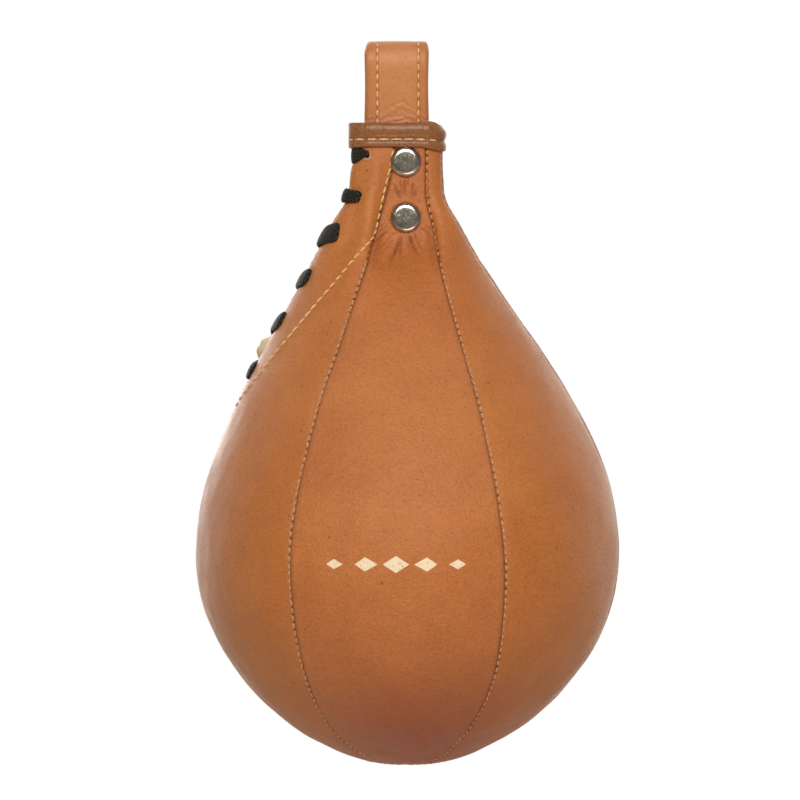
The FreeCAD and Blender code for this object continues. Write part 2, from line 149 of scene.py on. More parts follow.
def run_along(points):
    """Distance along a line of points from its first, or along each row of a grid of points."""
    total = np.cumsum(np.linalg.norm(np.diff(points, axis=-2), axis=-1), -1)
    return np.concatenate([np.zeros(total.shape[:-1] + (1,)), total], -1)


KNOTS = run_along(SKIN[:, :2])
LENGTH = KNOTS[-1]
Z, HALF_WIDTH, HALF_DEPTH, CENTRE, POWER, LEFT_SHARE, RIGHT_SHARE = (
    spline(KNOTS, SKIN[:, i]) for i in range(7))


def smooth(x, low, high):
    """Smoothstep from 0 at low to 1 at high."""
    t = np.clip((np.asarray(x, float) - low) / (high - low), 0, 1)
    return t * t * (3 - 2 * t)


def bump(distance, width):
    """A bell that is 1 at no distance."""
    return np.exp(-(np.asarray(distance) / width) ** 2)


_WAVES = RNG.normal(size=(40, 3))
_PHASE = RNG.uniform(0, 2 * np.pi, 40)


def ripple(points, scale, first=0, count=12):
    """Smooth noise of about this scale in mm, roughly -1 to 1, from a sum of plane waves."""
    total = np.zeros(points.shape[:-1])
    for k in range(first, first + count):
        direction = _WAVES[k] / np.linalg.norm(_WAVES[k])
        wave = 2 * np.pi / (scale * (0.7 + 0.6 * ((k * 7) % 10) / 10))
        total += np.sin(points @ direction * wave + _PHASE[k])
    return total / math.sqrt(count)


# ---- Skin
def skin(s, angle):
    """Points of the outer skin, s mm down its profile, at this angle."""
    s, angle = np.broadcast_arrays(np.asarray(s, float), np.asarray(angle, float))
    z, half_width, half_depth = Z(s), HALF_WIDTH(s), HALF_DEPTH(s)
    power = POWER(s)
    across, ahead = np.sin(np.radians(angle)), np.cos(np.radians(angle))
    reach = (np.abs(across / half_width) ** power + np.abs(ahead / half_depth) ** power) ** (-1 / power)
    x, y = CENTRE(s) + reach * across, -reach * ahead
    below = np.maximum(0.0, RIVET_Z[1] - RIVET_CAP - z)
    held = np.exp(-(np.abs((x - RIVET_X) / PINCH_REACH) ** 6) - (below / PINCH_FADE) ** 2)
    flat = np.sign(y) * (np.abs(y) * (1 - held) + PINCH_DEPTH * held)
    y = np.where(np.abs(y) > PINCH_DEPTH, flat, y)
    return np.stack([x, y, z], -1)


def unit(v):
    return v / np.maximum(np.linalg.norm(v, axis=-1, keepdims=True), 1e-9)


def normal(s, angle):
    """Outward normals of the skin."""
    s = np.asarray(s, float)
    step = 0.3
    down = skin(np.minimum(s + step, LENGTH), angle) - skin(np.maximum(s - step, 0), angle)
    around = skin(s, np.asarray(angle) + step) - skin(s, np.asarray(angle) - step)
    return unit(np.cross(down, around))


def under(s, angle, depth):
    """Points this deep below the skin; a negative depth is outside it."""
    return skin(s, angle) - normal(s, angle) * np.asarray(depth)[..., None]


S_TABLE = np.linspace(0, LENGTH, 4000)
Z_TABLE = Z(S_TABLE)


def s_at(z):
    """How far down the profile this height is."""
    return np.interp(-np.asarray(z, float), -Z_TABLE, S_TABLE)


def seam_angle(s, share, back=False):
    """The angle of a seam that stands at this share of the half width."""
    power = POWER(s)
    depth = HALF_DEPTH(s) * (1 - np.abs(share) ** power) ** (1 / power)
    angle = np.degrees(np.arctan2(share * HALF_WIDTH(s), depth))
    return 180 - angle if back else angle


def walk(s, start, distance):
    """The angles reached by walking this far round the skin from a start angle."""
    s, distance = np.broadcast_arrays(np.asarray(s, float), np.asarray(distance, float))
    shape = s.shape
    s, distance = s.ravel(), distance.ravel()
    steps = np.linspace(-60, 60, 241)
    length = run_along(skin(s[:, None], start + steps))
    length -= length[:, [len(steps) // 2]]
    found = [start + np.interp(d, row, steps) for d, row in zip(distance, length)]
    return np.array(found).reshape(shape)


def slit_opening(s):
    """The slit's half gap as it is cut."""
    return SLIT_HALF_GAP * np.clip((Z(s) - SLIT_END) / 12.0, 0, 1)


def slit_gape(s):
    """The slit's half gap as it lies: it gapes where the tongue pushes through."""
    z = Z(s)
    return slit_opening(s) + 2.3 * bump(z + 119.5, 8.0) + 0.8 * bump(z + 101.0, 5.5)


def skin_seam(share, back=False):
    """A seam as a function from s to its angle."""
    return lambda s: seam_angle(s, share(s), back)


front_left_seam, front_right_seam = skin_seam(LEFT_SHARE), skin_seam(RIGHT_SHARE)
back_left_seam, back_right_seam = skin_seam(LEFT_SHARE, True), skin_seam(RIGHT_SHARE, True)


def right_seam(s):
    return np.full_like(np.asarray(s, float), RIGHT_SEAM)


def slit_back_edge(s):
    return walk(s, SLIT_SEAM, -slit_gape(s))


def slit_front_edge(s):
    return walk(s, SLIT_SEAM, slit_gape(s)) - 360


# ---- Meshes
def link(name, data):
    """A new object in the scene."""
    obj = bpy.data.objects.new(name, data)
    bpy.context.scene.collection.objects.link(obj)
    return obj


def make_mesh(name, verts, faces, body, slot, material, **attributes):
    """A smooth mesh object from vertices in mm, riding on a body. The attributes are for its material."""
    mesh = bpy.data.meshes.new(name)
    mesh.from_pydata(((np.asarray(verts) - (STRAP_X, 0, 0)) * MM).tolist(), [], faces)
    mesh.validate()
    for key, values in attributes.items():
        layer = mesh.attributes.new(key, "FLOAT", "POINT")
        layer.data.foreach_set("value", np.asarray(values, np.float32).ravel())
    mesh.polygons.foreach_set("use_smooth", [True] * len(mesh.polygons))
    mesh.update()
    obj = link(name, mesh)
    mesh.materials.append(material)
    if body:
        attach(obj, body)
    return obj


def subdivide(obj):
    sub = obj.modifiers.new("smooth", "SUBSURF")
    sub.levels = sub.render_levels = 1


def grid_faces(rows, columns, start=0, wrap=False, flip=False):
    faces = []
    last = columns if wrap else columns - 1
    for i in range(rows - 1):
        for j in range(last):
            k = (j + 1) % columns
            a, b = start + i * columns + j, start + i * columns + k
            c, d = start + (i + 1) * columns + k, start + (i + 1) * columns + j
            faces.append((a, d, c, b) if flip else (a, b, c, d))
    return faces


def closed_sheet(outer, inner):
    """Vertices and faces of a closed shell between two equal grids of points."""
    rows, columns = outer.shape[:2]
    size = rows * columns
    faces = grid_faces(rows, columns, flip=True) + grid_faces(rows, columns, start=size)
    rim = list(range(columns))
    rim += [i * columns + columns - 1 for i in range(1, rows)]
    rim += [(rows - 1) * columns + j for j in range(columns - 2, -1, -1)]
    rim += [i * columns for i in range(rows - 2, 0, -1)]
    for a, b in zip(rim, rim[1:] + rim[:1]):
        faces.append((a, b, b + size, a + size))
    return np.concatenate([outer.reshape(-1, 3), inner.reshape(-1, 3)]), faces


def sweep(rings, wrap=False):
    """A closed tube through rings of points (rows x columns x 3), capped unless it wraps."""
    rows, columns = rings.shape[:2]
    verts = rings.reshape(-1, 3)
    faces = grid_faces(rows, columns, wrap=True)
    if wrap:
        for j in range(columns):
            k = (j + 1) % columns
            faces.append(((rows - 1) * columns + j, (rows - 1) * columns + k, k, j))
    else:
        faces.append(tuple(range(columns - 1, -1, -1)))
        faces.append(tuple(range((rows - 1) * columns, rows * columns)))
    return verts, faces


class Parts:
    """Collects several closed pieces into one mesh."""

    def __init__(self):
        self.verts, self.faces, self.count = [], [], 0

    def add(self, verts, faces):
        self.verts.append(np.asarray(verts))
        self.faces += [tuple(i + self.count for i in f) for f in faces]
        self.count += len(verts)

    def build(self, name, body, slot, material, **attributes):
        verts = np.concatenate(self.verts)
        return make_mesh(name, verts, self.faces, body, slot, material, **attributes)


# ---- Node materials
class Nodes:
    """A short way to write a material's or the world's node tree."""

    def __init__(self, name, world=False):
        self.owner = (bpy.data.worlds if world else bpy.data.materials).new(name)
        self.owner.use_nodes = True
        self.tree = self.owner.node_tree
        self.shader = self.tree.nodes["Background" if world else "Principled BSDF"]
        self.end = self.tree.nodes["World Output" if world else "Material Output"]
        self.place = self.new("ShaderNodeTexCoord").outputs["Generated" if world else "Object"]

    def new(self, kind, sockets=None, **values):
        node = self.tree.nodes.new(kind)
        for key, value in values.items():
            setattr(node, key, value)
        self.fill(node, sockets or {})
        return node

    def fill(self, node, sockets):
        """Links or sets a node's inputs, by name or number; None leaves one as it is."""
        for key, value in sockets.items():
            socket = node.inputs[key]
            if isinstance(value, bpy.types.NodeSocket):
                self.tree.links.new(value, socket)
            elif value is not None:
                plain = socket.type == "RGBA" and len(value) == 3
                socket.default_value = (*value, 1.0) if plain else value

    def math(self, operation, *values):
        return self.new("ShaderNodeMath", dict(enumerate(values)), operation=operation).outputs[0]

    def noise(self, scale, detail=3.0, rough=0.55, stretch=None, distortion=0.0):
        place = self.place
        if stretch:
            place = self.new("ShaderNodeMapping", {"Scale": stretch, "Vector": place}).outputs["Vector"]
        sockets = {"Scale": scale, "Detail": detail, "Roughness": rough, "Distortion": distortion,
                   "Vector": place}
        return self.new("ShaderNodeTexNoise", sockets).outputs["Fac"]

    def cells(self, scale, feature="F1"):
        sockets = {"Scale": scale, "Vector": self.place}
        return self.new("ShaderNodeTexVoronoi", sockets, feature=feature).outputs["Distance"]

    def split(self):
        """The three parts of the place."""
        return self.new("ShaderNodeSeparateXYZ", {0: self.place}).outputs

    def ramp(self, value, low, high, out_low=0.0, out_high=1.0):
        sockets = {"Value": value, "From Min": low, "From Max": high, "To Min": out_low, "To Max": out_high}
        return self.new("ShaderNodeMapRange", sockets, interpolation_type="SMOOTHSTEP").outputs["Result"]

    def mix(self, share, a, b):
        """A mix of two colours, which are this node's inputs 6 and 7."""
        return self.new("ShaderNodeMix", {0: share, 6: a, 7: b}, data_type="RGBA").outputs[2]

    def stain(self, colour, *layers):
        """Tones laid over a colour in turn: (mask or attribute's name, strength, tone)."""
        for mask, strength, tone in layers:
            mask = self.attribute(mask) if isinstance(mask, str) else mask
            colour = self.mix(self.math("MULTIPLY", mask, strength), colour, tone)
        return colour

    def attribute(self, name):
        return self.new("ShaderNodeAttribute", attribute_name=name).outputs["Fac"]

    def bumps(self, *layers):
        """Chained bump nodes: (height, distance in metres, strength)."""
        chain = None
        for height, distance, strength in layers:
            sockets = {"Height": height, "Distance": distance, "Strength": strength, "Normal": chain}
            chain = self.new("ShaderNodeBump", sockets).outputs["Normal"]
        self.fill(self.shader, {"Normal": chain})

    def blend_shaders(self, share, a, b):
        mixed = self.new("ShaderNodeMixShader", {0: share, 1: a, 2: b})
        self.fill(self.end, {"Surface": mixed.outputs[0]})

    def finish(self, **sockets):
        self.fill(self.shader, {key.replace("_", " "): value for key, value in sockets.items()})
        return self.owner


def linear(*rgb):
    """Linear colour from 0-255 sRGB values."""
    return tuple((c / 255 / 12.92) if c <= 10 else ((c / 255 + 0.055) / 1.055) ** 2.4 for c in rgb)


def shade(tone, by):
    return tuple(np.multiply(tone, by))


# The printed border, in mm: its middle, half length and spacing
MARK_X, MARK_Z = -0.2, -208.0
MARK_HALF, MARK_PITCH = 31.2, 12.5
MARK_COLOUR = linear(246, 226, 192)
# The pale colour of cut leather edges, and the near-black painted shade inside needle and lace holes.
RAW_LEATHER, HOLE_SHADE = (0.66, 0.50, 0.34), (0.018, 0.010, 0.006)
COAT_ROUGHNESS = 0.17


def mark_mask(n):
    """A generic printed border: a row of small lozenges, largest in the middle."""
    place = n.split()
    x = n.math("SUBTRACT", n.math("MULTIPLY", place[0], 1000.0), MARK_X)
    z = n.math("SUBTRACT", n.math("MULTIPLY", place[2], 1000.0), MARK_Z)
    away = n.math("ABSOLUTE", x)
    inside = n.math("LESS_THAN", away, MARK_HALF)
    cell = n.math("PINGPONG", x, MARK_PITCH / 2)
    taper = n.ramp(away, 0.0, MARK_HALF, 3.4, 1.9)
    lozenge = n.math("ADD", n.math("MULTIPLY", cell, 0.62), n.math("ABSOLUTE", z))
    return n.math("MULTIPLY", n.ramp(n.math("SUBTRACT", lozenge, taper), -0.12, 0.12, 1.0, 0.0), inside)


def leather(name, light, mid, dark, roughness=(0.34, 0.48), grain=1.0, mark=False, coat=0.0):
    """Waxed, lightly corrected-grain leather, with painted shade laid on from mesh attributes: in seam
    grooves, along creases, inside holes and towards the bag's bottom.
    """
    n = Nodes(name)
    colour = n.mix(n.ramp(n.noise(12, 3, 0.5), 0.3, 0.7), mid, light)
    cloud = n.ramp(n.noise(60, 4, 0.6, distortion=0.3), 0.3, 0.8)
    streak = n.ramp(n.noise(260, 2, 0.5, stretch=(1.0, 1.0, 0.35)), 0.45, 0.75)
    mottle = n.noise(820, 4, 0.72)
    fold = n.noise(230, 5, 0.62, stretch=(0.55, 0.55, 1.7), distortion=1.1)
    folded = n.ramp(n.noise(26, 2), 0.42, 0.62)
    line = n.ramp(n.math("ABSOLUTE", n.math("SUBTRACT", fold, 0.5)), 0.0, 0.035, 1.0, 0.0)
    wrinkle = n.math("MULTIPLY", line, folded)
    pores = n.ramp(n.cells(900), 0.05, 0.30, 1.0, 0.0)
    speck = n.math("MULTIPLY", pores, n.ramp(n.noise(420, 2), 0.5, 0.66))
    dots = n.ramp(n.cells(150), 0.05, 0.10, 1.0, 0.0)
    freckle = n.math("MULTIPLY", dots, n.ramp(n.noise(60, 2), 0.50, 0.58))
    colour = n.stain(
        colour,
        (cloud, 0.14, dark),
        (streak, 0.10, light),
        (n.ramp(mottle, 0.44, 0.72), 0.28 * grain, dark),
        (n.ramp(mottle, 0.50, 0.28), 0.22, light),
        # painted shade: the fine wrinkle lines are darkened
        (wrinkle, 0.20 * grain, dark),
        (speck, 0.42, dark),
        (freckle, 0.6, shade(dark, 0.55)),
        # painted shade in seam grooves, round the rivets and along stitch lines
        ("groove", 0.62, shade(dark, 0.75)),
        # painted shade along the creases
        ("crease", 0.42, shade(dark, 0.85)),
        # a darker, redder tone: painted shade at the bag's bottom, and also the binding's darkened cut ends
        # and the strap's darker edges and foot
        ("burnish", 0.80, shade(dark, (1.55, 1.2, 0.7))),
        # painted shade inside the holes
        ("hole_shade", 1.0, HOLE_SHADE),
        ("raw", 1.0, RAW_LEATHER),
    )
    shine = n.ramp(n.noise(38, 4, 0.6), 0.3, 0.7, roughness[0], roughness[1])
    if mark:
        foil = n.math("MULTIPLY", mark_mask(n), n.ramp(n.noise(900, 3, 0.6), 0.28, 0.40))
        colour = n.mix(foil, colour, MARK_COLOUR)
        shine = n.math("SUBTRACT", shine, n.math("MULTIPLY", foil, 0.12))
    n.bumps(
        (n.noise(24, 2, 0.5), 0.0016, 0.20),
        (wrinkle, 0.00030, -0.55 * grain),
        (mottle, 0.00060, 0.75 * grain),
        (n.cells(1100, "DISTANCE_TO_EDGE"), 0.00016, 0.70 * grain),
    )
    return n.finish(Base_Color=colour, Roughness=shine, Coat_Weight=coat, Coat_Roughness=COAT_ROUGHNESS,
                    Specular_IOR_Level=0.5, Sheen_Weight=0.05, Sheen_Roughness=0.45)


TAN_LIGHT, TAN_MID, TAN_DARK = linear(196, 120, 54), linear(184, 105, 40), linear(116, 50, 16)
GORE = leather("gore_leather", TAN_LIGHT, TAN_MID, TAN_DARK)
GORE_MARKED = leather("gore_leather_marked", linear(200, 123, 60), linear(188, 107, 47), TAN_DARK,
                      grain=1.15, mark=True)
STRAP = leather("strap_leather", linear(204, 138, 84), linear(190, 120, 66), linear(128, 65, 29),
                roughness=(0.36, 0.50), grain=0.6)
BINDING = leather("binding_leather", linear(150, 91, 38), linear(132, 75, 26), linear(76, 39, 12),
                  roughness=(0.26, 0.36), grain=1.5, coat=0.40)
FACING = leather("facing_leather", linear(166, 112, 72), linear(142, 92, 56), linear(96, 58, 34),
                 roughness=(0.62, 0.75))


def thread_material(name, light, dark):
    """Twisted sewing thread."""
    n = Nodes(name)
    twist = n.ramp(n.noise(2400, 2, stretch=(1, 1, 0.4)), 0.35, 0.65)
    n.bumps((twist, 0.0002, 0.7))
    return n.finish(Base_Color=n.mix(twist, dark, light), Roughness=0.6,
                    Sheen_Weight=0.35, Sheen_Roughness=0.4)


THREAD = thread_material("yellow_thread", linear(250, 214, 150), linear(208, 160, 88))
SEAM_THREAD = thread_material("seam_thread", linear(224, 168, 118), linear(178, 122, 76))


def cloth(name, light, dark, thread):
    """A plain weave with threads this many mm apart."""
    n = Nodes(name)
    sockets = {"Scale": 1000.0 / thread / 6.28, "Distortion": 1.5, "Detail": 2.0, "Vector": n.place}
    waves = (n.new("ShaderNodeTexWave", sockets, wave_type="BANDS", bands_direction=i) for i in "ZX")
    weave = n.math("MAXIMUM", *(wave.outputs["Fac"] for wave in waves))
    tone = n.math("MULTIPLY", weave, n.ramp(n.noise(90, 3), 0.3, 0.7, 0.7, 1.0))
    n.bumps((weave, 0.0003, 0.8), (n.noise(3000, 2), 0.0001, 0.5))
    return n.finish(Base_Color=n.mix(tone, dark, light), Roughness=0.9, Sheen_Weight=0.4,
                    Sheen_Roughness=0.5)


WEBBING = cloth("strap_webbing", linear(196, 178, 140), linear(130, 112, 80), 0.9)
LINING = cloth("lining_cloth", linear(214, 204, 180), linear(160, 146, 118), 0.8)
STRAND = 1.4               # width of a braid's strand in mm


def braid(name, light, dark):
    """Flat braid: slanted strands that meet in a herringbone."""
    n = Nodes(name)
    along, across = n.attribute("along"), n.attribute("across")
    slant = n.math("ADD", along, n.math("MULTIPLY", n.math("PINGPONG", across, STRAND), 0.8))
    strand, valley = (n.math("SINE", n.math("MULTIPLY", i, 2 * math.pi / STRAND)) for i in (slant, across))
    strand = n.math("MULTIPLY_ADD", strand, 0.5, 0.5)
    weave = n.math("MULTIPLY", strand, n.math("MULTIPLY_ADD", valley, 0.25, 0.75))
    fuzz = n.noise(1900, 3, 0.7)
    colour = n.mix(n.math("MULTIPLY", weave, n.ramp(fuzz, 0.3, 0.7, 0.6, 1.0)), dark, light)
    n.bumps((weave, 0.0006, 1.0), (fuzz, 0.00025, 0.8))
    return n.finish(Base_Color=colour, Roughness=0.6, Specular_IOR_Level=0.3)


LACE = braid("lace_braid", linear(62, 60, 54), linear(4, 4, 4))


def suede(name, light, dark):
    """Brushed suede with a soft nap."""
    n = Nodes(name)
    nap = n.ramp(n.noise(700, 5, 0.7), 0.3, 0.7)
    colour = n.mix(n.ramp(n.noise(60, 3), 0.35, 0.65), dark, light)
    colour = n.stain(colour, (nap, 0.35, dark))
    n.bumps((nap, 0.0004, 0.6), (n.noise(3200, 2), 0.00015, 0.6))
    return n.finish(Base_Color=colour, Roughness=0.95, Sheen_Weight=0.6, Sheen_Roughness=0.35)


TONGUE = suede("tongue_suede", linear(244, 224, 190), linear(208, 180, 140))


def metal(name):
    """Nickel plate with rubbed, pitted wear."""
    n = Nodes(name)
    scuff = n.ramp(n.noise(800, 5, 0.75, distortion=1.6), 0.52, 0.72)
    hair = n.noise(160, 4, 0.7, stretch=(1.0, 1.0, 7.0), distortion=3.0)
    scratch = n.ramp(n.math("ABSOLUTE", n.math("SUBTRACT", hair, 0.5)), 0.0, 0.012, 1.0, 0.0)
    stain = n.ramp(n.noise(260, 4), 0.4, 0.7)
    colour = n.mix(stain, linear(190, 184, 172), linear(158, 150, 136))
    colour = n.stain(colour, (scratch, 0.10, linear(110, 102, 90)))
    rough = n.math("ADD", n.math("MULTIPLY", scuff, 0.20), n.math("MULTIPLY", scratch, 0.15))
    n.bumps((n.noise(160, 3, 0.6), 0.00020, 0.05), (scuff, 0.00005, 0.20), (scratch, 0.00005, -0.3))
    return n.finish(Base_Color=colour, Metallic=1.0, Roughness=n.math("ADD", rough, 0.17))


NICKEL = metal("rivet_nickel")


def rubber(name, tone):
    """Dull, dusty rubber."""
    n = Nodes(name)
    dust = n.ramp(n.noise(120, 4), 0.4, 0.7)
    colour = n.mix(dust, shade(tone, 0.7), tone)
    n.bumps((n.noise(1200, 3), 0.0001, 0.4))
    return n.finish(Base_Color=colour, Roughness=n.ramp(dust, 0, 1, 0.55, 0.75))


RUBBER = rubber("bladder_rubber", (0.035, 0.032, 0.032))
VALVE = rubber("valve_rubber", (0.022, 0.022, 0.024))


# ---- Gores
NECK_ROWS = np.arange(0, s_at(-100.0), 0.40)
BODY_ROWS = np.arange(s_at(-100.0), LENGTH - 6.0, 0.62)
FOOT_ROWS = np.linspace(LENGTH - 6.0, LENGTH, 14)
ROWS = np.concatenate([NECK_ROWS, BODY_ROWS, FOOT_ROWS])
# Distances in mm from a gore's side edge to its grid's outer columns
EDGE = np.array([0.0, 0.12, 0.3, 0.5, 0.75, 1.0, 1.3, 1.65, 2.1, 2.7, 3.5, 4.6])
STITCH = 3.5               # pitch of the seams' stitches
CREASE_SEED = 11


def fan_of_creases():
    """Fine creases drawn out from the rivets: ((x, z) points, width, depth) in mm."""
    rng = np.random.default_rng(CREASE_SEED)
    creases = [
        (((-1.4, -48.4), (-1.2, -53.5), (-1.0, -59.0)), 0.60, 0.42),
        (((-3.4, -48.2), (-2.4, -53.0), (-1.8, -58.8)), 0.65, 0.30),
        (((2.6, -50.0), (1.6, -54.6), (0.6, -59.0)), 0.60, 0.34),
        (((0.4, -48.6), (0.1, -51.0), (0.0, -54.0)), 0.50, 0.30),
        (((0.6, -72.2), (2.2, -76.0), (3.6, -80.0), (5.8, -84.5)), 0.75, 0.40),
        (((2.2, -71.6), (4.4, -74.6), (5.6, -79.0)), 0.65, 0.34),
        (((-2.2, -72.2), (-4.2, -77.0), (-7.0, -84.0), (-8.0, -92.0)), 0.80, 0.30),
    ]
    for _ in range(16):
        x = rng.uniform(-7.5, 6.0)
        top, foot = rng.uniform(-54.0, -49.5), rng.uniform(-60.5, -57.0)
        end = RIVET_X + (x - RIVET_X) * rng.uniform(0.35, 0.6)
        path = ((x, top), ((x + end) / 2 + rng.uniform(-0.4, 0.4), (top + foot) / 2), (end, foot))
        creases.append((path, rng.uniform(0.35, 0.55), rng.uniform(0.06, 0.20)))
    for _ in range(44):
        turn = math.radians(rng.uniform(196, 338))
        start, length = rng.uniform(6.6, 11.0), rng.uniform(6.0, 17.0)
        curl = math.radians(rng.uniform(-26, 26))
        points, angle = [], turn
        x = RIVET_X + start * math.cos(turn)
        z = RIVET_Z[1] + start * math.sin(turn)
        for _ in range(4):
            points.append((x, z))
            x += length / 3 * math.cos(angle)
            z += length / 3 * math.sin(angle)
            angle += curl
        creases.append((tuple(points), rng.uniform(0.38, 0.62), rng.uniform(0.05, 0.19)))
    for _ in range(22):
        x, z = rng.uniform(-14.0, 9.0), rng.uniform(-104.0, -76.0)
        angle, length = math.radians(rng.uniform(-35, 25)), rng.uniform(3.0, 8.0)
        dx, dz = length * math.cos(angle), length * math.sin(angle)
        path = ((x, z), (x + dx / 2, z + dz / 2 + rng.uniform(-0.8, 0.8)), (x + dx, z + dz))
        creases.append((path, rng.uniform(0.4, 0.6), rng.uniform(0.03, 0.10)))
    return creases


CREASES = fan_of_creases()


def crease_depth(points):
    """Depth of the front creases at these points, and a painted shade tint along them."""
    x, z = points[..., 0], points[..., 2]
    depth, tint = np.zeros_like(x), np.zeros_like(x)
    for path, width, amount in CREASES:
        knots = np.linspace(0, 1, len(path))
        fine = np.stack([np.interp(np.linspace(0, 1, 9), knots, axis) for axis in zip(*path)], -1)
        nearest = np.full(x.shape, 1e9)
        along = np.zeros_like(x)
        for k, (a, b) in enumerate(zip(fine, fine[1:])):
            d = b - a
            t = np.clip(((x - a[0]) * d[0] + (z - a[1]) * d[1]) / (d @ d), 0, 1)
            gap = np.hypot(x - a[0] - t * d[0], z - a[1] - t * d[1])
            along = np.where(gap < nearest, (k + t) / (len(fine) - 1), along)
            nearest = np.minimum(nearest, gap)
        fade = smooth(along, 0.0, 0.16) * (1 - smooth(along, 0.40, 1.0))
        depth += 1.7 * amount * fade * (bump(nearest, width) - 0.5 * bump(nearest, width * 2.4))
        # painted shade along the crease
        tint += min(1.0, 3.2 * amount) * fade * bump(nearest, width * 0.8)
    return depth, tint


def lace_holes(points, side):
    """Pit depth and pale rim round the lace holes of one flap."""
    pit, rim = np.zeros((2,) + points.shape[:-1])
    for z, distance in LACE_ROWS:
        s = s_at(z)
        centre = skin(s, walk(s, SLIT_SEAM, side * (distance + slit_opening(s))))
        away = np.linalg.norm(points - centre, axis=-1)
        pit += 1.9 * (1 - smooth(away, 0.7, 1.6))
        rim += (1.1 if z == LACE_ROWS[0][0] else 0.2) * bump(away - 1.5, 0.4)
    return pit, rim


# Each gore's made surface: the angles of its grid, and how far it lies below the skin there
SURFACE = {}
ROLL_RADIUS = 1.5
# x in mm where the bottom's painted shade is centred
BOTTOM_SHADE_X = 4.6


def drop_at(name, s, angle):
    """How far a gore's made surface lies below the skin."""
    angles, drops = SURFACE[name]
    row = np.clip(np.searchsorted(ROWS, s), 0, len(ROWS) - 1)
    return np.array([np.interp(a, angles[i], drops[i]) for i, a in zip(row, angle)])


def gore_grid(first, last, middle):
    """Angles of a gore's grid, crowded to its side edges, with each point's distance and each row's width."""
    start, end = first(ROWS), last(ROWS)
    fine = start[:, None] + (end - start)[:, None] * np.linspace(0, 1, 81)
    length = run_along(skin(ROWS[:, None], fine))
    places = []
    for w in length[:, -1]:
        edge = EDGE * min(1.0, w * 0.4 / EDGE[-1])
        inner = np.linspace(edge[-1], w - edge[-1], middle)[1:-1]
        places.append(np.concatenate([edge, inner, (w - edge)[::-1]]))
    places = np.array(places)
    angle = np.array([np.interp(p, l, a) for p, l, a in zip(places, length, fine)])
    return angle, places, length[:, -1:]


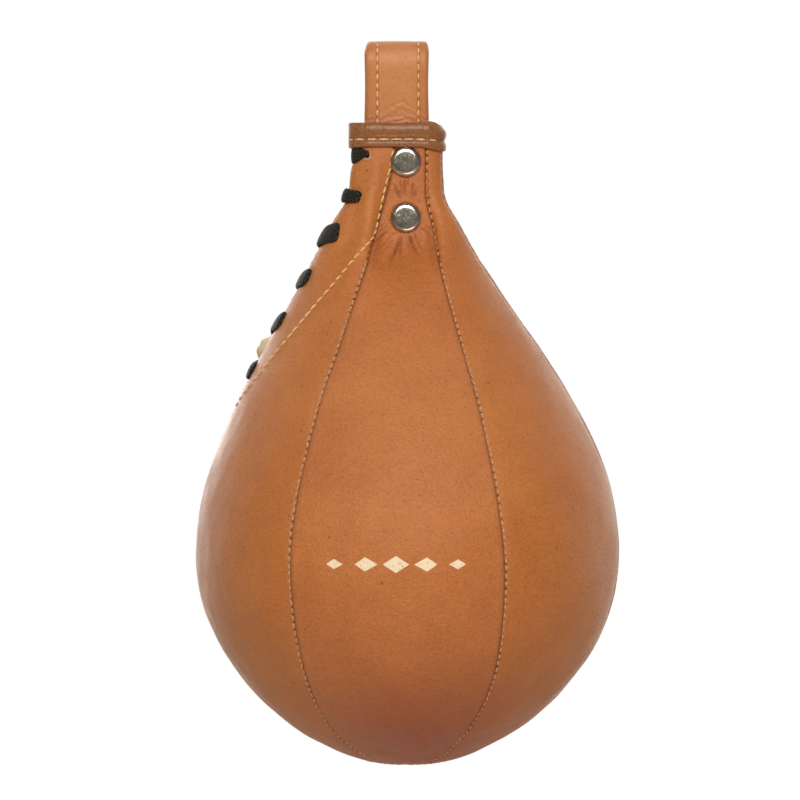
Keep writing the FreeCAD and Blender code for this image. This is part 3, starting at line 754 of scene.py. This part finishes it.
def make_gore(name, first, last, kinds, middle, material):
    """One gore. kinds says what each side edge is: plain, holed along its seam, or open at the slit."""
    s = ROWS[:, None]
    angle, places, width = gore_grid(first, last, middle)
    base, out = skin(s, angle), normal(s, angle)
    z = base[..., 2]
    # The groove, hole and crease masks hold painted shade: in seam grooves and round the rivets, inside
    # holes, and along creases.
    drop, groove, hole_shade, raw, crease = np.zeros((5,) + angle.shape)
    for edge, kind in zip((first, last), kinds):
        away = places if edge is first else width - places
        share = 1 - smooth(z, SLIT_END - 2, SLIT_END + 4) if kind == "slit" else 1.0
        inward = np.maximum(0, ROLL_RADIUS - away)
        roll = ROLL_RADIUS - np.sqrt(np.maximum(0, ROLL_RADIUS ** 2 - inward ** 2))
        if kind == "plain":
            drop += share * (roll * 0.62 - 0.22 * bump(away - 2.0, 1.6))
            # painted shade where the edge rolls down into the seam's groove
            groove += share * (0.60 * bump(away, 0.75) + 0.34 * np.exp(-away / 1.9))
            continue
        drop += share * (roll * 0.22 + 0.42 * np.exp(-away / 2.2))
        # painted shade beside the holed edge
        groove += share * 0.16 * np.exp(-away / 1.6)
        along = run_along(skin(ROWS, edge(ROWS)))[:, None]
        phase = np.abs((along / STITCH) % 1.0 - 0.5) * STITCH
        dot = bump(phase, 0.50) * bump(away - 0.55, 0.46)
        drop += share * (0.25 * bump(phase, 0.8) * bump(away - 0.6, 0.9) + 0.45 * dot)
        # painted shade: the needle holes painted near-black
        hole_shade += share * np.clip(2.2 * dot - 0.3, 0, 1)
        drop += (1 - share) * np.maximum(0, 0.8 - away) * 0.8
        raw += (1 - share) * bump(away, 0.22) * 0.75
    swell = np.clip(4 * places * (width - places) / width ** 2, 0, 1)
    drop -= 0.35 * swell * smooth(-z, 90, 160)
    drop -= 0.16 * ripple(base, 34.0) + 0.07 * ripple(base, 13.0, 12)
    drop += 0.05 * ripple(base, 5.5, 20) * smooth(z, -120, -80)
    if name == "panel_front":
        depth, crease = crease_depth(base)
        drop += depth
        for rivet in RIVET_Z:
            ring = np.hypot(base[..., 0] - RIVET_X, z - rivet)
            drop += 0.45 * (1 - smooth(ring, RIVET_CAP - 1.2, RIVET_CAP + 0.9))
            # painted shade round the rivet cap
            groove += 0.9 * bump(ring - RIVET_CAP, 0.55)
    if "slit" in kinds:
        from_slit = places if first is slit_front_edge else width - places
        from_seam = width - from_slit
        for row, _ in LACE_ROWS:
            pull = 1.5 if row == LACE_ROWS[0][0] else 0.6
            drop += pull * bump(z - row, 4.4) * (1 - smooth(from_slit, 3.0, 11.0))
        drop -= 1.15 * bump(from_seam - 5.8, 3.8) * smooth(z, -104, -74) * (1 - smooth(z, -44, -34))
        drop += 0.7 * bump(from_seam - 13.0, 4.5) * bump(z + 62.0, 17.0)
        pit, rim = lace_holes(base, 1 if name == "panel_front_left" else -1)
        drop += pit
        raw += 0.55 * rim
        # painted shade: the deepest part of each lace hole painted near-black
        hole_shade += np.clip(pit - 1.2, 0, 1)
    foot = np.maximum(0, 1.2 - (LENGTH - s))
    drop += 0.9 * (1.2 - np.sqrt(np.maximum(0, 1.44 - foot ** 2)))
    # Painted shade: darker towards the bag's bottom. Also a little darker towards the neck's top.
    burnish = 0.95 * smooth(-z, 232, 292) * bump(base[..., 0] - BOTTOM_SHADE_X, 46.0)
    burnish += 0.20 * smooth(z, -62, -36)
    verts, faces = closed_sheet(base - out * drop[..., None],
                                base - out * np.maximum(LEATHER, drop + 0.35)[..., None])
    SURFACE[name] = angle, drop
    both = {"groove": groove, "hole_shade": hole_shade, "raw": raw, "crease": crease, "burnish": burnish}
    both = {key: np.tile(values.ravel(), 2) for key, values in both.items()}
    obj = make_mesh(name + "_leather", verts, faces, "bag", "gore_leather", material, **both)
    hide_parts(name)


make_gore("panel_front", front_left_seam, front_right_seam, ("plain", "plain"), 60, GORE_MARKED)
make_gore("panel_front_right", front_right_seam, right_seam, ("holed", "holed"), 34, GORE)
make_gore("panel_back_right", right_seam, back_right_seam, ("plain", "holed"), 34, GORE)
make_gore("panel_back", back_right_seam, back_left_seam, ("plain", "plain"), 34, GORE)
make_gore("panel_back_left", back_left_seam, slit_back_edge, ("holed", "slit"), 44, GORE)
make_gore("panel_front_left", slit_front_edge, front_left_seam, ("slit", "holed"), 44, GORE)


# ---- Stitches
def stitches(parts, line, outward, pitch, share, radius, lift, lean=0.0):
    """Short raised threads along a line of points; outward gives the surface's normal there."""
    run = run_along(line)

    def at(d, values=line):
        return np.array([np.interp(d, run, axis) for axis in values.T])

    for number in range(int(run[-1] / pitch)):
        begin = number * pitch + RNG.uniform(0, 0.12) * pitch
        finish = begin + share * pitch * RNG.uniform(0.92, 1.05)
        if finish > run[-1]:
            break
        a, b, up = at(begin), at(finish), unit(at((begin + finish) / 2, outward))
        along = unit(b - a)
        side = unit(np.cross(along, up))
        skew = side * lean * pitch
        rings = []
        for t in np.linspace(0, 1, 7):
            arch = math.sin(math.pi * t)
            size = radius * (0.35 + 0.65 * arch ** 0.5)
            centre = a + (b - a) * t + up * (lift * (arch - 0.45)) + skew * (t - 0.5)
            turn = np.linspace(0, 2 * np.pi, 9)[:-1]
            rings.append(centre + size * (np.cos(turn)[:, None] * side + np.sin(turn)[:, None] * up))
        parts.add(*sweep(np.array(rings)))


def facing_angle(s):
    """The facing's sewn edge on the front: beside the front gore's seam, then down to the slit."""
    z = Z(s)
    start, end = s_at(FACING_CORNER), s_at(SLIT_END - 4)
    beside = walk_beside(front_left_seam, s, -1.1)
    share = np.clip((s - start) / (end - start), 0, 1)
    share = share + 0.055 * np.sin(2 * np.pi * share) - 0.03 * np.sin(np.pi * share)
    return np.where(z > FACING_CORNER, beside, (1 - share) * beside + share * (SLIT_SEAM - 360))


def walk_beside(seam, s, distance):
    """The angle this far beside a seam, to the right of it as seen from outside."""
    angle = seam(s)
    step = skin(s, angle + 1.0) - skin(s, angle)
    return angle + distance / np.maximum(np.linalg.norm(step, axis=-1), 1e-3)


def edge_angle(s, side, distance):
    """The angle this far in from the slit's edge on one flap."""
    return walk(s, SLIT_SEAM, side * (slit_gape(s) + distance))


def on_gore(name, s, angle, depth=0.0):
    """A line of points on a gore's made surface, with their normals."""
    return under(s, angle, drop_at(name, s, angle) + depth), normal(s, angle)


FACING_PITCH = 4.0
SEAM_STITCH = (STITCH, 0.72, 0.44, 0.12)
SEAM_SIDE = 0.62           # how far beside a seam its stitches lie
SEAM_FOOT = LENGTH - 3.0

yellow = Parts()
s_line = np.linspace(s_at(-36.5), s_at(-145.5), 500)
a = facing_angle(s_line)
stitches(yellow, *on_gore("panel_front_left", s_line, a), FACING_PITCH, 0.88, 0.44, 0.3, lean=0.09)
stitches(yellow, *on_gore("panel_back_left", s_line, 180 - a), FACING_PITCH, 0.88, 0.46, 0.4, lean=0.09)
s_edge = np.linspace(s_at(-37.0), s_at(-146.0), 400)
for side, name in ((1, "panel_front_left"), (-1, "panel_back_left")):
    a = edge_angle(s_edge, side, 2.4) - (360 if side > 0 else 0)
    stitches(yellow, *on_gore(name, s_edge, a, 0.22), 3.6, 0.72, 0.30, 0.15)
yellow.build("facing_stitches", "bag", "gore_leather", THREAD)

seam_bits = Parts()
s_neck = np.linspace(s_at(-36.5), s_at(-84.0), 200)
for seam, name, side in ((front_right_seam, "panel_front_right", 1),
                         (back_right_seam, "panel_back_right", -1)):
    a = walk_beside(seam, s_neck, side * 0.45)
    stitches(seam_bits, *on_gore(name, s_neck, a), STITCH, 0.50, 0.25, 0.25, lean=0.18)
seam_bits.build("neck_seam_stitches", "bag", "gore_leather", THREAD)

lower_bits = Parts()
for seam, name, side in (
        (front_left_seam, "panel_front_left", -1), (front_right_seam, "panel_front_right", 1),
        (right_seam, "panel_front_right", -1), (back_right_seam, "panel_back_right", -1),
        (back_left_seam, "panel_back_left", 1)):
    s_low = np.linspace(s_at(-37.0 if seam is right_seam else -84.0), SEAM_FOOT, 500)
    a = walk_beside(seam, s_low, side * SEAM_SIDE)
    stitches(lower_bits, *on_gore(name, s_low, a), *SEAM_STITCH)
s_low = np.linspace(s_at(SLIT_END - 3), SEAM_FOOT, 300)
a = walk(s_low, SLIT_SEAM, -SEAM_SIDE)
stitches(lower_bits, *on_gore("panel_back_left", s_low, a), *SEAM_STITCH)
lower_bits.build("seam_stitches", "bag", "gore_leather", SEAM_THREAD)


# ---- Bottom patch
PATCH_DOME = 0.9
PATCH_STITCHES = 12.2      # radius of their ring
PATCH_HOLE = 3.2


def make_patch():
    """The round patch: rolled edge, slight dome and a hole for the valve."""
    low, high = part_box("bottom_patch")
    radius, top, foot = (high.x - low.x) / 2 / MM, high.z / MM, low.z / MM
    profile = [(PATCH_HOLE, top), (radius - 0.4, top), (radius, top - 0.5)]
    for t in np.radians(np.linspace(0, 90, 7)):
        profile.append((radius - 0.8 + 0.8 * math.cos(t), foot + PATCH_DOME + 0.8 * (1 - math.sin(t))))
    profile += [(r, foot + PATCH_DOME * (r / radius) ** 2) for r in (12.5, 9.5, 6.5, 4.6)]
    profile += [(3.7, foot + 0.35), (PATCH_HOLE, foot + 0.9)]
    turn = np.linspace(0, 2 * np.pi, 97)[:-1]
    rings = np.array([[(r * math.sin(t), -r * math.cos(t), z) for t in turn] for r, z in profile])
    verts, faces = sweep(rings, wrap=True)
    edge = np.repeat([smooth(abs(r), radius - 1.2, radius) for r, _ in profile], len(turn))
    # painted shade on the patch's rolled edge
    obj = make_mesh("bottom_patch_leather", verts, faces, "bag", "gore_leather", GORE,
                    # painted shade: the whole patch darkened, at the bag's bottom
                    groove=edge * 0.4, burnish=np.full(len(verts), 0.5))
    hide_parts("bottom_patch")
    turn = np.append(turn, turn[0])
    height = foot + PATCH_DOME * (PATCH_STITCHES / radius) ** 2
    ring = np.stack([PATCH_STITCHES * np.sin(turn), -PATCH_STITCHES * np.cos(turn),
                     np.full_like(turn, height)], -1)
    thread = Parts()
    stitches(thread, ring, np.tile((0.0, 0.0, -1.0), (len(turn), 1)), 3.4, 0.7, 0.22, -0.12)
    thread.build("patch_stitches", "bag", "gore_leather", THREAD)


make_patch()


# ---- Binding
BINDING_GROOVE = -32.4
# The binding's section: (distance out from the skin, z)
BINDING_SECTION = np.array([
    (-2.6, -34.0), (-2.85, -32.0), (-2.9, -29.5), (-2.85, -27.4), (-2.5, -26.1), (-1.8, -25.4),
    (-0.9, -25.15), (0.0, -25.2), (0.75, -25.6), (1.25, -26.3), (1.6, -27.3), (1.75, -28.4),
    (1.7, -29.5), (1.5, -30.5), (1.2, -31.4), (0.85, -32.0), (0.7, BINDING_GROOVE), (0.85, -32.8),
    (1.2, -33.3), (1.4, -34.0), (1.4, -34.8), (1.15, -35.4), (0.7, -35.75), (0.15, -35.7),
    (0.1, -34.5), (0.1, -31.0), (0.1, -28.0), (-0.1, -26.9), (-1.0, -26.8), (-1.9, -26.9),
    (-2.05, -28.0), (-2.05, -31.0), (-2.05, -33.9),
])


def make_binding():
    """The soft folded binding: square where it is cut at the slit, sloping on the other side."""
    middle = s_at(-30.0)
    opening = slit_opening(middle)
    first = float(walk(middle, SLIT_SEAM, opening)) - 360
    last = float(walk(middle, SLIT_SEAM, -opening))
    fine = np.linspace(first, last, 400)
    run = run_along(skin(middle, fine))
    along = np.concatenate([[0.0, 0.1, 0.25, 0.5], np.linspace(0.8, run[-1] - 0.8, 260),
                            run[-1] - np.array([0.5, 0.25, 0.1, 0.0])])
    angle = np.interp(along, run, fine)
    base, out = skin(middle, angle), unit(normal(middle, angle) * (1, 1, 0))
    along, x = along[:, None], base[:, :1]
    from_end = np.minimum(along, run[-1] - along)
    wave = 0.35 * np.sin(along / 4.3) + 0.28 * np.sin(along / 2.3 + 1.0) + 0.2 * np.sin(along / 7.9 + 2)
    dimple = 0.14 * np.sin(along * 1.9) * np.sin(along / 3.1) + 0.10 * np.sin(along * 3.3 + 1.0)
    right, square = smooth(x, 4.0, 13.5), 1 - smooth(from_end, 1.0, 9.0)
    reach, z = BINDING_SECTION.T
    outside = reach > 0.2
    high, low = smooth(z, -31.0, -25.5), smooth(-z, 33.0, 35.7)
    depth = reach * (1 + 0.18 * wave + 0.16 * dimple) - 0.9 * right * high
    depth = depth * (1 - square) + square * np.where(z > -35.5, 1.45, 1.2)
    depth -= 0.35 * (1 - smooth(from_end, 0.0, 0.45))
    depth = np.where(outside, depth, reach)
    lift = high * (0.33 * wave + 0.5 * bump(x - 9.6, 2.0) - 1.3 * smooth(x, 11.4, 15.0))
    lift += square * 0.35 * high * outside
    lift -= low * (1.1 * right + 0.12 * wave) + 0.45 * right * smooth(-z, 31.0, 32.4)
    rings = base[:, None] + out[:, None] * depth[..., None]
    rings[..., 2] = z + lift
    verts, faces = sweep(rings)
    # painted shade in the binding's stitch groove
    groove = 0.7 * bump(z - BINDING_GROOVE, 0.35) * (reach > 0.5)
    # the binding's cut ends are darker
    edge = np.repeat(bump(from_end, 0.5), len(z))
    obj = make_mesh("neck_binding_leather", verts, faces, "bag", "binding_leather", BINDING,
                    groove=np.tile(groove, len(rings)), burnish=edge * 0.6)
    subdivide(obj)
    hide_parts("neck_binding")
    line = base + out * (0.82 + 0.7 * square - 0.35 * right)
    line[:, 2:] = BINDING_GROOVE - 0.45 * right
    thread = Parts()
    stitches(thread, line[3:-1], out[3:-1], 5.2, 0.86, 0.42, 0.5)
    thread.build("binding_stitches", "bag", "binding_leather", THREAD)


make_binding()


# ---- Strap
def strap_path():
    """The middle of the strap in the YZ plane, from the front leg's foot round the loop to the back."""
    outer = EYE_RADIUS + STRAP_THICKNESS / 2
    leg = STRAP_THICKNESS / 2 + 0.06
    half = [(-leg, -34.5), (-leg, -31.0), (-leg, -27.5), (-leg - 0.02, -24.2), (-leg - 0.25, -21.0),
            (-leg - 0.95, -17.5), (-leg - 2.1, -13.5), (-leg - 3.4, -9.5), (-leg - 4.7, -5.5)]
    for t in np.linspace(-12, 90, 9):
        half.append((-outer * math.cos(math.radians(t)), outer * math.sin(math.radians(t))))
    other = [(-y, z) for y, z in half[::-1]][1:]
    points = np.array(half + other)
    knots = run_along(points)
    fine = np.linspace(0, knots[-1], 340)
    return np.stack([spline(knots, axis)(fine) for axis in points.T], -1)


STITCH_LINES = (-8.1, 9.2)


def strap_section():
    """Places round the strap's section: x, and t from -1 on the inner face to 1 on the outer one."""
    half = STRAP_WIDTH / 2
    left_line, right_line = (x + np.array([-0.45, -0.2, 0, 0.2, 0.45]) for x in STITCH_LINES)
    flat = np.concatenate([np.linspace(-half + 1.9, STITCH_LINES[0] - 0.8, 5), left_line,
                           np.linspace(STITCH_LINES[0] + 0.8, STITCH_LINES[1] - 0.8, 40), right_line,
                           np.linspace(STITCH_LINES[1] + 0.8, half - 1.9, 4)])
    corner = np.radians(np.linspace(75, -75, 9))
    side = half - 1.7 + 1.7 * np.cos(corner)
    one = np.ones(len(flat))
    return (np.concatenate([flat, side, flat[::-1], -side]),
            np.concatenate([one, np.sin(corner), -one, -np.sin(corner)]))


def strap_wrinkles(x, z):
    """Folds of the strap above the binding: nested inverted Vs and faint diagonals. Returns their dents and a
    painted shade along them.
    """
    dent, line = np.zeros((2,) + np.broadcast(x, z).shape)
    for apex, slope, width, depth, middle in (
            (-16.4, 0.86, 0.80, 0.26, 1.6), (-18.7, 0.70, 0.65, 0.16, -0.4), (-20.4, 0.95, 0.60, 0.12, 2.4),
            (-22.3, 0.52, 0.75, 0.20, 0.4), (-24.0, 0.40, 0.60, 0.14, 3.0)):
        wave = 0.35 * np.sin(x * 0.9 + apex) + 0.22 * np.sin(x * 2.1 + 2 * apex)
        gap = z - apex + slope * np.maximum(0.0, np.hypot(x - middle, 2.6) - 2.6) * 0.7 + wave
        reach = np.exp(-((x - middle) / 6.5) ** 4)
        dent += depth * reach * (0.9 * bump(gap + 1.1, width * 1.7) - bump(gap, width))
        # painted shade along the fold
        line += 0.32 * reach * bump(gap, width * 0.7)
    for x0, z0, tilt in ((6.0, -9.0, 1.6), (7.6, -11.5, 1.9), (-6.0, -15.0, -1.2), (4.6, -7.6, 1.5)):
        along = x - x0 + (z - z0) / tilt + 0.3 * np.sin(z * 1.1)
        fade = bump(x - x0, 3.4) * bump(z - z0, 5.0)
        dent -= 0.09 * fade * (bump(along, 0.5) + bump(along - 1.7, 0.5))
        line += 0.14 * fade * bump(along, 0.4)
    side = bump(abs(x - 0.5) - 10.8, 3.2) * smooth(-z, 17.0, 24.0)
    comb = np.sin(2.6 * (z + 0.55 * abs(x - 0.5)) + np.sin(x * 1.7))
    dent += 0.07 * side * comb
    line += 0.12 * side * np.maximum(0.0, -comb)
    near = (z <= -4) & (z >= -30)
    return dent * near, line * near


def make_strap():
    """The whole strap as one band: it bends where it leaves the binding."""
    path = strap_path()
    tangent = unit(np.gradient(path, axis=0))
    outward = np.stack([tangent[:, 1], -tangent[:, 0]], -1)
    outward *= -np.sign(outward[0, 0])
    x, t = strap_section()
    (y, z), (out_y, out_z) = path.T[..., None], outward.T[..., None]
    top = t > 0
    sink = top * np.maximum(*(bump(x - line, 0.42) for line in STITCH_LINES))
    pad = 0.22 * bump(abs(x) - 11.2, 1.6) * (1 - smooth(z, 3.0, 7.0)) + 0.16 * bump(x - 0.5, 6.5)
    # the second mask is painted shade along the folds, on the outer face only
    dent, crease = ((t > 0.6) * values for values in strap_wrinkles(x, z))
    dent *= np.where(y < 0, 1.0, 0.7)
    reach = t * (STRAP_THICKNESS / 2 + top * pad - 0.38 * sink + dent)
    width = 1.0 + 0.012 * np.sin(z / 6.0) - 0.012 * bump(z - 9, 2.5)
    corner = np.where(x < 0, 2.9, 1.7)
    past = np.clip((abs(x) - STRAP_WIDTH / 2 + corner) / corner, 0, 1)
    worn = corner * (1 - np.sqrt(1 - past ** 2)) * smooth(z, 3.0, 7.6)
    rings = np.stack([STRAP_X + x * width, y + out_y * reach, z + out_z * reach - worn], -1)
    # painted shade along the sunk stitch lines and near the strap's edges
    groove = 0.8 * sink + 0.35 * bump(abs(x) - 13.4, 0.5)
    verts, faces = sweep(rings)
    obj = make_mesh("hanging_strap", verts, faces, None, "strap_leather", STRAP,
                    groove=np.tile(groove, len(path)), crease=crease,
                    # darker towards the strap's edges and towards its foot
                    burnish=0.35 * smooth(abs(x), 5.0, 13.5) + 0.30 * smooth(-z, 8.0, 27.0))
    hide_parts("hanging_loop", "loop_webbing")
    bend(obj)
    thread = Parts()
    seat = path + outward * (STRAP_THICKNESS / 2 - 0.22)
    outs = np.column_stack([np.zeros(len(path)), outward])
    for x in STITCH_LINES:
        line = np.column_stack([np.full(len(path), STRAP_X + x), seat])
        stitches(thread, line, outs, 3.9, 0.80, 0.42, 0.32)
    bend(thread.build("strap_stitches", None, "strap_leather", THREAD))


def bend(obj):
    """Bakes a piece of the strap's placement into its mesh."""
    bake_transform(obj)


make_strap()


# ---- Rivets
CAP_PROFILE = (
    (0.01, 1.30), (1.6, 1.298), (3.2, 1.29), (4.3, 1.26), (4.85, 1.18), (5.3, 1.02), (5.75, 0.78),
    (6.1, 0.46), (6.36, 0.12), (6.5, -0.16), (6.42, -0.40), (6.1, -0.52), (4.8, -0.52), (0.01, -0.52))


def make_cap(name, z, side):
    """A double-cap rivet's face: flat centre, soft shoulder and rolled rim."""
    turn = np.linspace(0, 2 * np.pi, 73)[:-1]
    rings = [[(RIVET_X + r * math.cos(t), side * (CAP_SEAT + h), z - side * r * math.sin(t)) for t in turn]
             for r, h in CAP_PROFILE]
    verts, faces = sweep(np.array(rings))
    obj = make_mesh(name + "_cap", verts, faces, "bag", "rivet_nickel", NICKEL)
    subdivide(obj)
    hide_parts(name)


for rivet_z, word in zip(RIVET_Z, ("upper", "lower")):
    make_cap(word + "_rivet_front", rivet_z, -1)
    make_cap(word + "_rivet_back", rivet_z, 1)


# ---- Lacing and tongue
def ribbon(parts, marks, centre, outward, width, thick):
    """A flat braid swept along a line of points; marks collects each vertex's place on the braid."""
    tangent = unit(np.gradient(centre, axis=0))
    side = unit(np.cross(tangent, outward))
    out = unit(np.cross(side, tangent))
    turn = np.linspace(0, 2 * np.pi, 33)[:-1]
    cos, sin = np.cos(turn), np.sin(turn)
    shape_x = np.sign(cos) * np.abs(cos) ** 0.7
    shape_y = np.sign(sin) * np.abs(sin) ** 0.8 - 0.16 * shape_x ** 2
    rings = (centre[:, None] + side[:, None] * (shape_x[None, :, None] * (width / 2)[:, None, None])
             + out[:, None] * (shape_y[None, :, None] * (thick / 2)[:, None, None]))
    marks["along"].append(np.repeat(run_along(centre), len(turn)))
    marks["across"].append((shape_x[None, :] * (width / 2)[:, None]).ravel())
    parts.add(*sweep(rings))


LACE_WIDTHS = (7.2, 6.0, 9.6, 8.4, 8.8, 7.6)
LACE_TILTS = (1.0, -0.8, 1.8, 1.2, 1.6, -1.0)
LACE_INSIDE = 4.6          # depth of its diagonals


def make_lace():
    """The lace: a bar over the slit at each row, and a diagonal inside from each row to the next."""
    parts, marks = Parts(), {"along": [], "across": []}
    for row, ((z, distance), wide, tilt) in enumerate(zip(LACE_ROWS, LACE_WIDTHS, LACE_TILTS)):
        reach = distance + SLIT_HALF_GAP
        t = np.linspace(-1, 1, 81)
        s = s_at(z + tilt * t)
        angle = walk(s, SLIT_SEAM, t * (reach + 1.3))
        rise = 0.55 + 0.40 * np.cos(t * np.pi / 2) - 3.0 * smooth(np.abs(t), 0.90, 1.0)
        rise += 0.12 * np.sin(t * 5 + row)
        pinch = 1 - 0.22 * smooth(np.abs(t), 0.85, 1.0) - 0.10 * bump(t + 0.1, 0.25)
        if row == 0:
            rise -= 1.9 * bump(t, 0.7)
            pinch = np.where(t > 0, 1 - 0.70 * smooth(t, 0.35, 1.0), pinch)
        if row == 1:
            pinch = pinch * (0.86 + 0.22 * bump(t - 0.25, 0.3))
        ribbon(parts, marks, under(s, angle, -rise), normal(s, angle), wide * pinch,
               1.7 + 0.3 * bump(t, 0.5))
        if row:
            above = LACE_ROWS[row - 1][0]
            t = np.linspace(-1, 1, 31)
            s = s_at((z + above) / 2 - (above - z) / 2 * t)
            angle = walk(s, SLIT_SEAM, t * reach)
            depth, wide, thick = (np.full(len(t), value) for value in (LACE_INSIDE, 5.4, 1.5))
            ribbon(parts, marks, under(s, angle, depth), normal(s, angle), wide, thick)
    marks = {key: np.concatenate(values) for key, values in marks.items()}
    obj = parts.build("lace_braid", "bag", "lace_cord", LACE, **marks)
    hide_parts("lace")


TONGUE_THICKNESS = 1.2


def make_tongue():
    """The suede strip under the slit: it swells out between the crossings."""
    s = np.linspace(s_at(-60.0), s_at(SLIT_END - 3), 220)
    across = np.linspace(-13, 13, 53)
    z = Z(s)[:, None]
    swell = np.zeros_like(z)
    for (z0, _), (z1, _), amount in zip(LACE_ROWS, LACE_ROWS[1:], (0.0, 0.5, 0.75, 1.25)):
        swell += amount * bump(z - (z0 + z1) / 2, 6.2)
    swell += 1.70 * smooth(z, -132.0, -121.0) * (1 - smooth(z, -119.0, -108.5))
    swell += 0.8 * bump(z + 139.0, 4.0)
    ridge = bump(across[None, :], 2.2 + 1.8 * bump(z + 119.5, 8.0))
    depth = 6.9 - 5.6 * swell * ridge + 0.18 * np.sin(z * 1.3 + 0.6 * across[None, :])
    angle = walk(s[:, None], SLIT_SEAM, across)
    outer, inner = (under(s[:, None], angle, depth + deeper) for deeper in (0.0, TONGUE_THICKNESS))
    verts, faces = closed_sheet(outer[:, ::-1], inner[:, ::-1])
    obj = make_mesh("tongue_suede_strip", verts, faces, "bag", "tongue_suede", TONGUE)
    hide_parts("tongue")


make_lace()
make_tongue()


# ---- CAD nodes that stay
KEPT = {"strap_tail_front": STRAP, "strap_tail_back": STRAP, "tail_webbing_front": WEBBING,
        "tail_webbing_back": WEBBING, "lace_facing_front": FACING, "lace_facing_back": FACING,
        "lining": LINING, "bladder": RUBBER, "bladder_valve": VALVE}
for node, material in KEPT.items():
    mesh = frame["nodes"][node].data
    mesh.materials.clear()
    mesh.materials.append(material)


# ---- Stage, light and camera
FLOOR_SIZE, FLOOR_HEIGHT = 6.0, -1.6
WORLD_FRONT, WORLD_BEHIND = 0.19, 1.50
WORLD_FILL = (1.0, 0.945, 0.86, 1.0)
CAMERA_X, CAMERA_Y, CAMERA_DROP = 0.00143, -1.78, 0.1514
CAMERA_LENS = 189.7


def stage():
    """A plain pale floor, seen from above only."""
    mesh = bpy.data.meshes.new("floor")
    corners = ((-1, -1), (1, -1), (1, 1), (-1, 1))
    mesh.from_pydata([(x * FLOOR_SIZE, y * FLOOR_SIZE, FLOOR_HEIGHT) for x, y in corners], [], [(0, 1, 2, 3)])
    floor = link("floor", mesh)
    n = Nodes("pale_floor")
    n.finish(Base_Color=n.mix(n.noise(3.0, 2), (0.77, 0.735, 0.69), (0.81, 0.775, 0.73)), Roughness=0.8)
    below = n.new("ShaderNodeNewGeometry").outputs["Backfacing"]
    n.blend_shaders(below, n.shader.outputs[0], n.new("ShaderNodeBsdfTransparent").outputs[0])
    floor.data.materials.append(n.owner)


def world():
    """White to the eye; its light comes mostly from behind the bag, as off a white sweep."""
    n = Nodes("studio", world=True)
    bpy.context.scene.world = n.finish(Color=(1.0, 1.0, 1.0, 1.0))
    place = n.split()
    behind = n.ramp(place["Y"], 0.20, 0.70, WORLD_FRONT, WORLD_BEHIND)
    strength = n.math("MULTIPLY", behind, n.ramp(place["Z"], -0.9, -0.05, 0.1, 1.0))
    fill = n.new("ShaderNodeBackground", {"Color": WORLD_FILL, "Strength": strength})
    seen = n.new("ShaderNodeLightPath").outputs["Is Camera Ray"]
    n.blend_shaders(seen, fill.outputs[0], n.shader.outputs[0])


def area_light(name, place, size, power, tint):
    """A soft rectangular light that faces the bag."""
    data = bpy.data.lights.new(name, "AREA")
    data.shape = "RECTANGLE"
    data.size, data.size_y = size
    data.energy = power
    data.color = tint
    light = link(name, data)
    light.location = place
    light.rotation_euler = (AIM - Vector(place)).to_track_quat("-Z", "Y").to_euler()


def camera():
    """Level with the bag's lower middle, straight in front of it."""
    data = bpy.data.cameras.new("camera")
    data.sensor_width = 36.0
    data.lens = CAMERA_LENS
    data.clip_start, data.clip_end = 0.1, 20.0
    cam = link("camera", data)
    cam.location = (CAMERA_X, CAMERA_Y, CAD_BOX[1].z - CAMERA_DROP)
    cam.rotation_euler = (math.radians(90), 0, 0)
    bpy.context.scene.camera = cam


stage()
world()
AIM = Vector((0.0, 0.0, -0.18))
area_light("key", (-0.03, -1.32, 0.72), (1.1, 0.8), 21.0, (1.0, 0.96, 0.90))
area_light("low_fill", (0.35, -1.5, -1.0), (1.1, 0.30), 4.9, (1.0, 0.82, 0.64))
area_light("back_fill", (-0.2, 1.7, 0.1), (1.2, 1.0), 9.0, (1.0, 1.0, 1.0))
camera()
bpy.context.scene.view_settings.view_transform = "Standard"
